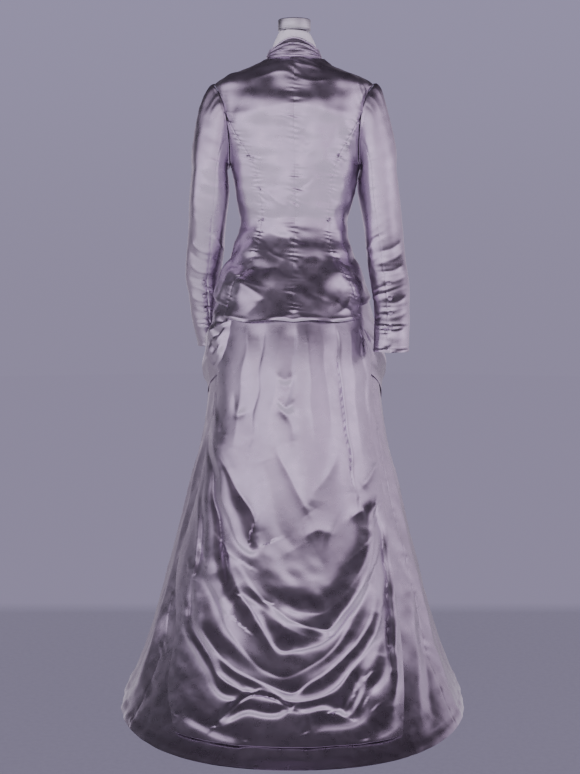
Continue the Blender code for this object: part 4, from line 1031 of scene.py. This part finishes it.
def make_apron(columns=176, rows=120):
    """The front drape. Its left end lies over the back drape and its right end goes under it."""
    share, rise = np.meshgrid(np.linspace(0, 1, columns), np.linspace(0, 1, rows))
    plain = between(APRON_END, OVERSKIRT_TOP, rise)
    right = angle_at(skirt_size, plain, smooth(APRON_EDGES, "right", plain))
    left = 2 * math.pi - angle_at(skirt_size, plain, -smooth(APRON_EDGES, "left", plain))
    sag = np.sin(math.pi * np.clip(share, 0, 1)) ** SAG_POWER
    lowest = between(APRON_END, APRON_MIDDLE, sag)
    height = between(lowest, OVERSKIRT_TOP, rise)
    lift, low_side = apron_lift(share, rise, sag, height)
    points = skirt(between(right, left, share), height, lift)
    add = soft(points, APRON_SOFT)
    from_right, from_left = edge_gaps(points)
    sides = step(share, 0, APRON_FOLD_START) * step(1 - share, 0, APRON_FOLD_START)
    add = add + fold_field(APRON_FOLDS, share, height) * sides
    add = add + fold_field(PUFF_FOLDS, -from_left, height, lean=PUFF_LEAN)
    upward = height - between(lowest[:, :1], OVERSKIRT_TOP, FAN_CENTRE)
    for fan in FANS:
        sideways = from_left if fan.share == 1 else from_right
        reach = np.hypot(sideways, upward)
        turn = np.degrees(np.arctan2(upward, sideways))
        fade = step(reach, *FAN_START) * (1 - step(reach, *FAN_END))
        add = add + fan.rise * fade * hump(turn, fan.angle, fan.half)
    loose = between(APRON_TIGHT_SHARE, 1, 1 - step(rise, *APRON_LOOSE))
    add = np.maximum(add, -APRON_DEEPEST * np.maximum(lift, 0)) * loose
    add = add * step(np.minimum(from_right, from_left), 0, APRON_EDGE_EASE)
    calm = np.where(share > 0.5, APRON_LOW_CALM_LEFT, APRON_LOW_CALM_RIGHT)
    add = add * (1 - calm * low_side)
    add = add * between(APRON_HEM_SHARE, 1, step(rise, 0, APRON_HEM_EASE))
    shell("front_drape", relief(points, add))


def make_skirt():
    for panel in GORES:
        height = (np.linspace(0, 1, panel.rows)[:, None] ** GORE_ROW_POWER) * SKIRT_TOP
        half_gap = SHOWN_GAP / skirt_size("half_width", height)
        angle = between(math.radians(panel.start) + half_gap, math.radians(panel.end) - half_gap,
                        np.linspace(0, 1, panel.columns)[None, :])
        points = skirt(angle, height, -smooth(GORE_INSET, "lift", height))
        add = soft(points, GORE_SOFT)
        for gap, way in zip(edge_gaps(points), (1, -1)):
            add = add + puckered(SKIRT_PUCKER, points[..., 2], gap, way)
        turn = np.degrees(turn_from_back(angle)) * TURN_SCALE
        add = add + fold_field(SKIRT_FOLDS, turn, points[..., 2])
        behind = 1 - step(turn, *TRAIN_FOLDED)
        add = add + behind * fold_field(TRAIN_FOLDS, points[..., 0], points[..., 2])
        upward = lengths(points, 0)
        add = add + ridges(upward, HEM_TURNING, HEM_STITCH)
        points = relief(points, add * (1 - GORE_CALM * step(height, *GORE_CALMED)))
        points[..., 2] = np.maximum(points[..., 2], 0.0)
        shell(panel.name, points)


def make_waistband(columns=160, rows=12, opening=math.radians(0.1)):
    angle = np.linspace(math.pi + opening, 3 * math.pi - opening, columns)[None, :]
    height = np.linspace(BAND_FOOT, WAIST_TOP, rows)[:, None]
    shell("waistband", skirt(angle, height, SEAM_GAP), BAND_CLOTH)


# Materials. Noises are (scale, detail, stretch), on the object or on the cut cloth, in metres
MOTTLE = (14, 4)
SHEEN = (45, 3)
CRUSH = (70, 3)
FLOATS = (1, 3, (180, 1900, 1))
WARP = (1, 2, (2400, 260, 1))
THREAD = 0.0004
FLOAT_BUMP = 0.15
WARP_BUMP = 0.08
CRUSH_DEPTH = 0.0016
CRUSH_BUMP = 0.16
FLOAT_WEAR = 0.16
EDGE_WEAR = 0.12
EDGE_WEAR_REACH = 0.0020


def feed(tree, node, inputs):
    """Set a node's inputs to plain values, or link them from sockets."""
    for key, value in inputs.items():
        if isinstance(value, bpy.types.NodeSocket):
            tree.links.new(value, node.inputs[key])
        else:
            node.inputs[key].default_value = value


def shade(tree, kind, output, inputs=None, **options):
    """An output of a new shader node with its options and inputs set."""
    made = tree.nodes.new("ShaderNode" + kind)
    for key, value in options.items():
        setattr(made, key, value)
    feed(tree, made, inputs or {})
    return made.outputs[output]


def new_look(name, base, metallic, roughness):
    look = bpy.data.materials.new(name)
    look.use_nodes = True
    shader = look.node_tree.nodes["Principled BSDF"]
    feed(look.node_tree, shader,
         {"Base Color": (*base, 1), "Metallic": metallic, "Roughness": roughness})
    return look, look.node_tree, shader


def noise(tree, source, scale, detail, stretch=(1, 1, 1)):
    place = shade(tree, "Mapping", "Vector", {"Vector": source, "Scale": stretch})
    return shade(tree, "TexNoise", "Fac", {"Vector": place, "Scale": scale, "Detail": detail})


def spread(tree, source, low, high, start=0.35, end=0.65):
    """A value mapped from start..end to low..high."""
    return shade(tree, "MapRange", "Result", {"Value": source, "From Min": start, "From Max": end,
                                              "To Min": low, "To Max": high})


def blend(tree, factor, first, second, kind="MIX"):
    """Mix of two colours, each a colour or a socket."""
    sides = [(*value, 1) if isinstance(value, tuple) else value for value in (first, second)]
    return shade(tree, "Mix", 2, {"Factor": factor, 6: sides[0], 7: sides[1]}, data_type="RGBA",
                 blend_type=kind)


def bump(tree, height, distance, strength, under=None):
    inputs = {"Strength": strength, "Distance": distance, "Height": height}
    if under is not None:
        inputs["Normal"] = under
    return shade(tree, "Bump", "Normal", inputs)


def satin(name, base, tint, worn, metallic, rough):
    """Satin: long floats across the cloth, soft mottling and rubbed edges."""
    look, tree, shader = new_look(name, base, metallic, rough[0])
    place = shade(tree, "TexCoord", "Object")
    cut = shade(tree, "UVMap", "UV", uv_map="cut")
    edge = shade(tree, "Attribute", "Fac", attribute_name="edge")
    floats = noise(tree, cut, *FLOATS)
    colour = blend(tree, spread(tree, noise(tree, place, *MOTTLE), 0, 1), base, tint)
    colour = blend(tree, spread(tree, floats, 0, FLOAT_WEAR), colour, worn)
    rubbed = spread(tree, edge, EDGE_WEAR, 0, 0.0, EDGE_WEAR_REACH)
    normal = bump(tree, floats, THREAD, FLOAT_BUMP)
    normal = bump(tree, noise(tree, cut, *WARP), THREAD, WARP_BUMP, normal)
    normal = bump(tree, noise(tree, place, *CRUSH), CRUSH_DEPTH, CRUSH_BUMP, normal)
    feed(tree, shader, {"Base Color": blend(tree, rubbed, colour, worn), "Normal": normal,
                        "Roughness": spread(tree, noise(tree, place, *SHEEN), *rough)})
    return look


def grained(name, base, tint, metallic, rough, grain, mottle, depth, strength):
    """Plain material with a fine grain; its colour follows a mottle, or the grain."""
    look, tree, shader = new_look(name, base, metallic, rough[0])
    place = shade(tree, "TexCoord", "Object")
    fine = noise(tree, place, *grain)
    patches = noise(tree, place, *mottle) if mottle else fine
    feed(tree, shader, {"Base Color": blend(tree, spread(tree, patches, 0, 1), base, tint),
                        "Roughness": spread(tree, fine, *rough),
                        "Normal": bump(tree, fine, depth, strength)})
    return look


LOOKS = {
    "satin": satin("satin_cloth", (0.53, 0.458, 0.567), (0.48, 0.414, 0.513), (0.60, 0.535, 0.64),
                   0.97, (0.26, 0.36)),
    "button": satin("satin_button", (0.40, 0.33, 0.43), (0.34, 0.285, 0.37), (0.52, 0.45, 0.56),
                    0.70, (0.30, 0.42)),
    "form": grained("form_plaster", (0.93, 0.91, 0.95), (0.88, 0.86, 0.91), 0.0, (0.50, 0.62),
                    (260, 5), (20, 3), 0.0004, 0.2),
    "steel": grained("brushed_steel", (0.50, 0.49, 0.52), (0.42, 0.41, 0.44), 1.0, (0.26, 0.42),
                     (1, 4, (30, 30, 900)), None, 0.0002, 0.25),
    "iron": grained("black_iron", (0.030, 0.030, 0.034), (0.055, 0.054, 0.058), 0.6, (0.45, 0.65),
                    (1, 4, (240, 240, 240)), None, 0.0002, 0.25),
}


# The dress form, its cap and its stand
# Outline of the cap, as (radius, height)
CAP_PROFILE = (
    (0.0345, 1.5174), (0.0372, 1.5176), (0.0380, 1.5184), (0.0380, 1.5196), (0.0375, 1.5202),
    (0.0375, 1.5206), (0.0378, 1.5212), (0.0378, 1.5408), (0.0374, 1.5420), (0.0364, 1.5428),
    (0.0340, 1.5430), (0.0320, 1.5426), (0.0100, 1.5426), (0.0040, 1.5426),
)
CAP_SIDES = 72
WELD = 0.00005
TORSO_SUBDIVISIONS = 2
STAND_SHARP = math.radians(40)


def make_form():
    turned("neck_cap_turned", "neck_cap", CAP_PROFILE, CAP_SIDES, LOOKS["steel"],
           (NECK_SHIFT, 0, 0))
    for name, look in (("form_torso", "form"), ("stand_pole", "steel"), ("stand_foot", "iron")):
        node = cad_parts[name]
        node.data.materials.clear()
        node.data.materials.append(LOOKS[look])
        node.data.shade_smooth()
        if name == "form_torso":
            node.modifiers.new("welded", "WELD").merge_threshold = WELD
            rounded = node.modifiers.new("rounded", "SUBSURF")
            rounded.levels = rounded.render_levels = TORSO_SUBDIVISIONS
        else:
            node.data.set_sharp_from_angle(angle=STAND_SHARP)


# Floor, light and camera
FLOOR_RADIUS = 9.0
FLOOR_SINK = 0.0005
FLOOR_PAINT = (0.075, 0.072, 0.092)
FLOOR_ROUGHNESS = 0.9
FLOOR_GLOSS = 0.3
FLOOR_GRAIN = (90, 4)
FLOOR_BUMP = (0.0005, 0.1)
FLOOR_GLOW = (0.195, 0.176, 0.258)
FLOOR_WEAR = 0.94
FAR_GLOW = (0.284, 0.250, 0.378)
# Light that the floor throws up at the dress, before it and behind it
FRONT_BOUNCE = (0.95, 0.90, 1.02)
BACK_BOUNCE = (0.40, 0.36, 0.43)
BOUNCE_TURN = (-0.5, 0.3)
# Where the floor turns into the backdrop
SWEEP = (0.58, 0.70)
CAMERA_PLACE = (-0.0081, -3.1838, 0.9789)
CAMERA_TILT = math.radians(3.55)
CAMERA_LENS = 63.14
CAMERA_SENSOR = 36
CAMERA_SHIFT = -0.05


def make_floor(sides=96):
    """Pale studio floor that runs up into the backdrop a little way in front of the dress."""
    turn = np.arange(sides) * 2 * math.pi / sides
    rim = np.stack([np.cos(turn), np.sin(turn), 0 * turn], -1) * FLOOR_RADIUS
    mesh = new_mesh("floor", rim - (0, 0, FLOOR_SINK), [list(range(sides))])
    look, tree, shader = new_look("floor_paint", FLOOR_PAINT, 0.0, FLOOR_ROUGHNESS)
    place = shade(tree, "TexCoord", "Object")
    forward = shade(tree, "SeparateXYZ", "Y", {"Vector": place})
    grain = noise(tree, place, *FLOOR_GRAIN)
    far = spread(tree, forward, 0, 1, *SWEEP)
    worn = tuple(FLOOR_WEAR * part for part in FLOOR_GLOW)
    near = blend(tree, spread(tree, grain, 0, 1), FLOOR_GLOW, worn)
    bounced = blend(tree, spread(tree, forward, 0, 1, *BOUNCE_TURN), FRONT_BOUNCE, BACK_BOUNCE)
    seen = shade(tree, "LightPath", "Is Camera Ray")
    feed(tree, shader, {
        "Base Color": blend(tree, far, FLOOR_PAINT, (0.0, 0.0, 0.0)),
        "Specular IOR Level": spread(tree, forward, FLOOR_GLOSS, 0, *SWEEP),
        "Emission Color": blend(tree, seen, bounced, blend(tree, far, near, FAR_GLOW)),
        "Emission Strength": 1.0,
        "Normal": bump(tree, grain, *FLOOR_BUMP),
    })
    mesh.materials.append(look)
    floor = placed("floor", mesh)


# Light by height of the direction it comes from: 0 straight down, 0.5 level, 1 straight up
LIGHT_STOPS = (
    (0.00, (0.42, 0.38, 0.46)), (0.40, (0.70, 0.63, 0.75)), (0.46, (0.90, 0.81, 0.97)),
    (0.53, (0.88, 0.79, 0.95)), (0.58, (0.84, 0.75, 0.90)), (0.64, (0.75, 0.67, 0.80)),
    (0.70, (0.62, 0.555, 0.66)), (0.75, (0.50, 0.445, 0.53)), (0.795, (0.30, 0.265, 0.315)),
    (0.835, (0.15, 0.133, 0.158)), (0.88, (0.064, 0.056, 0.068)), (0.94, (0.046, 0.041, 0.049)),
    (0.98, (0.038, 0.034, 0.041)), (1.00, (0.034, 0.030, 0.037)),
)
# Strength and tint by how far sideways it comes from: 0 left, 0.5 middle, 1 right
SIDE_STOPS = (
    (0.00, (0.87, 0.86, 0.90)), (0.09, (0.86, 0.85, 0.89)), (0.22, (0.93, 0.92, 0.95)),
    (0.38, (1.00, 0.99, 1.00)), (0.52, (0.96, 0.94, 0.97)), (0.70, (0.66, 0.63, 0.66)),
    (0.84, (0.66, 0.62, 0.66)), (0.94, (0.94, 0.90, 0.96)), (1.00, (1.00, 0.97, 1.00)),
)
# The backdrop that the camera sees, by height as for the light: painted light, lighter towards the
# top
BACKDROP_STOPS = (
    (0.40, (0.284, 0.250, 0.378)), (0.50, (0.292, 0.258, 0.389)), (0.56, (0.315, 0.280, 0.427)),
    (0.66, (0.347, 0.309, 0.486)),
)
FRONT_LIGHT = 2.05
BACK_LIGHT = 1.4
BACK_LIGHT_TURN = (-0.2, 0.6)
# How far the dark overhead comes down behind the dress, on either side
BEHIND_LEFT = 0.24
BEHIND_RIGHT = 0.12
BEHIND_SIDES = (-0.7, 0.7)
BEHIND_TURN = (-0.26, 0.28)
# The dark corner at the left, beside and behind the dress
LEFT_DIMMED = 0.85
LEFT_REACH = (-0.85, -0.35)
LEFT_TURN = (0.12, 0.42)
DARK_CORNER = (0.05, 0.05, 0.056)


def world_ramp(tree, source, stops):
    ramp = tree.nodes.new("ShaderNodeValToRGB")
    ramp.color_ramp.interpolation = "B_SPLINE"
    elements = ramp.color_ramp.elements
    while len(elements) > 1:
        elements.remove(elements[-1])
    for number, (position, colour) in enumerate(stops):
        element = elements[0] if number == 0 else elements.new(position)
        element.position = position
        element.color = (*colour, 1)
    tree.links.new(source, ramp.inputs["Fac"])
    return ramp.outputs["Color"]


def make_world():
    world = bpy.data.worlds.new("studio")
    bpy.context.scene.world = world
    world.use_nodes = True
    tree = world.node_tree
    tree.nodes.clear()
    way = shade(tree, "TexCoord", "Generated")
    right, forward, up = (shade(tree, "SeparateXYZ", axis, {"Vector": way}) for axis in "XYZ")
    height = spread(tree, up, 0, 1, -1, 1)
    behind = spread(tree, forward, 0, 1, *BEHIND_TURN)
    lower = spread(tree, right, BEHIND_LEFT, BEHIND_RIGHT, *BEHIND_SIDES)
    moved = shade(tree, "Math", 0, {0: behind, 1: lower, 2: height}, operation="MULTIPLY_ADD")
    sides = world_ramp(tree, spread(tree, right, 0, 1, -1, 1), SIDE_STOPS)
    light = world_ramp(tree, moved, LIGHT_STOPS)
    light = blend(tree, 1.0, light, sides, "MULTIPLY")
    to_left = spread(tree, right, LEFT_DIMMED, 0, *LEFT_REACH)
    beside = spread(tree, forward, 0, 1, *LEFT_TURN)
    dim = shade(tree, "Math", 0, {0: to_left, 1: beside}, operation="MULTIPLY")
    strength = spread(tree, forward, FRONT_LIGHT, BACK_LIGHT, *BACK_LIGHT_TURN)
    lamp = shade(tree, "Background", 0, {"Color": blend(tree, dim, light, DARK_CORNER),
                                         "Strength": strength})
    wall = shade(tree, "Background", 0, {"Color": world_ramp(tree, height, BACKDROP_STOPS)})
    seen = shade(tree, "LightPath", "Is Camera Ray")
    mixed = shade(tree, "MixShader", 0, {"Fac": seen, 1: lamp, 2: wall})
    tree.links.new(mixed, tree.nodes.new("ShaderNodeOutputWorld").inputs["Surface"])


def make_camera():
    data = bpy.data.cameras.new("camera")
    data.lens = CAMERA_LENS
    data.sensor_width = CAMERA_SENSOR
    data.shift_y = CAMERA_SHIFT
    camera = placed("camera", data)
    camera.location = CAMERA_PLACE
    camera.rotation_euler = (math.pi / 2 - CAMERA_TILT, 0, 0)
    bpy.context.scene.camera = camera


make_camera()
make_world()
make_floor()
make_form()
make_waistband()
make_skirt()
make_apron()
make_drape()
make_bodice()
make_collar()
make_sleeves()
make_buttons()
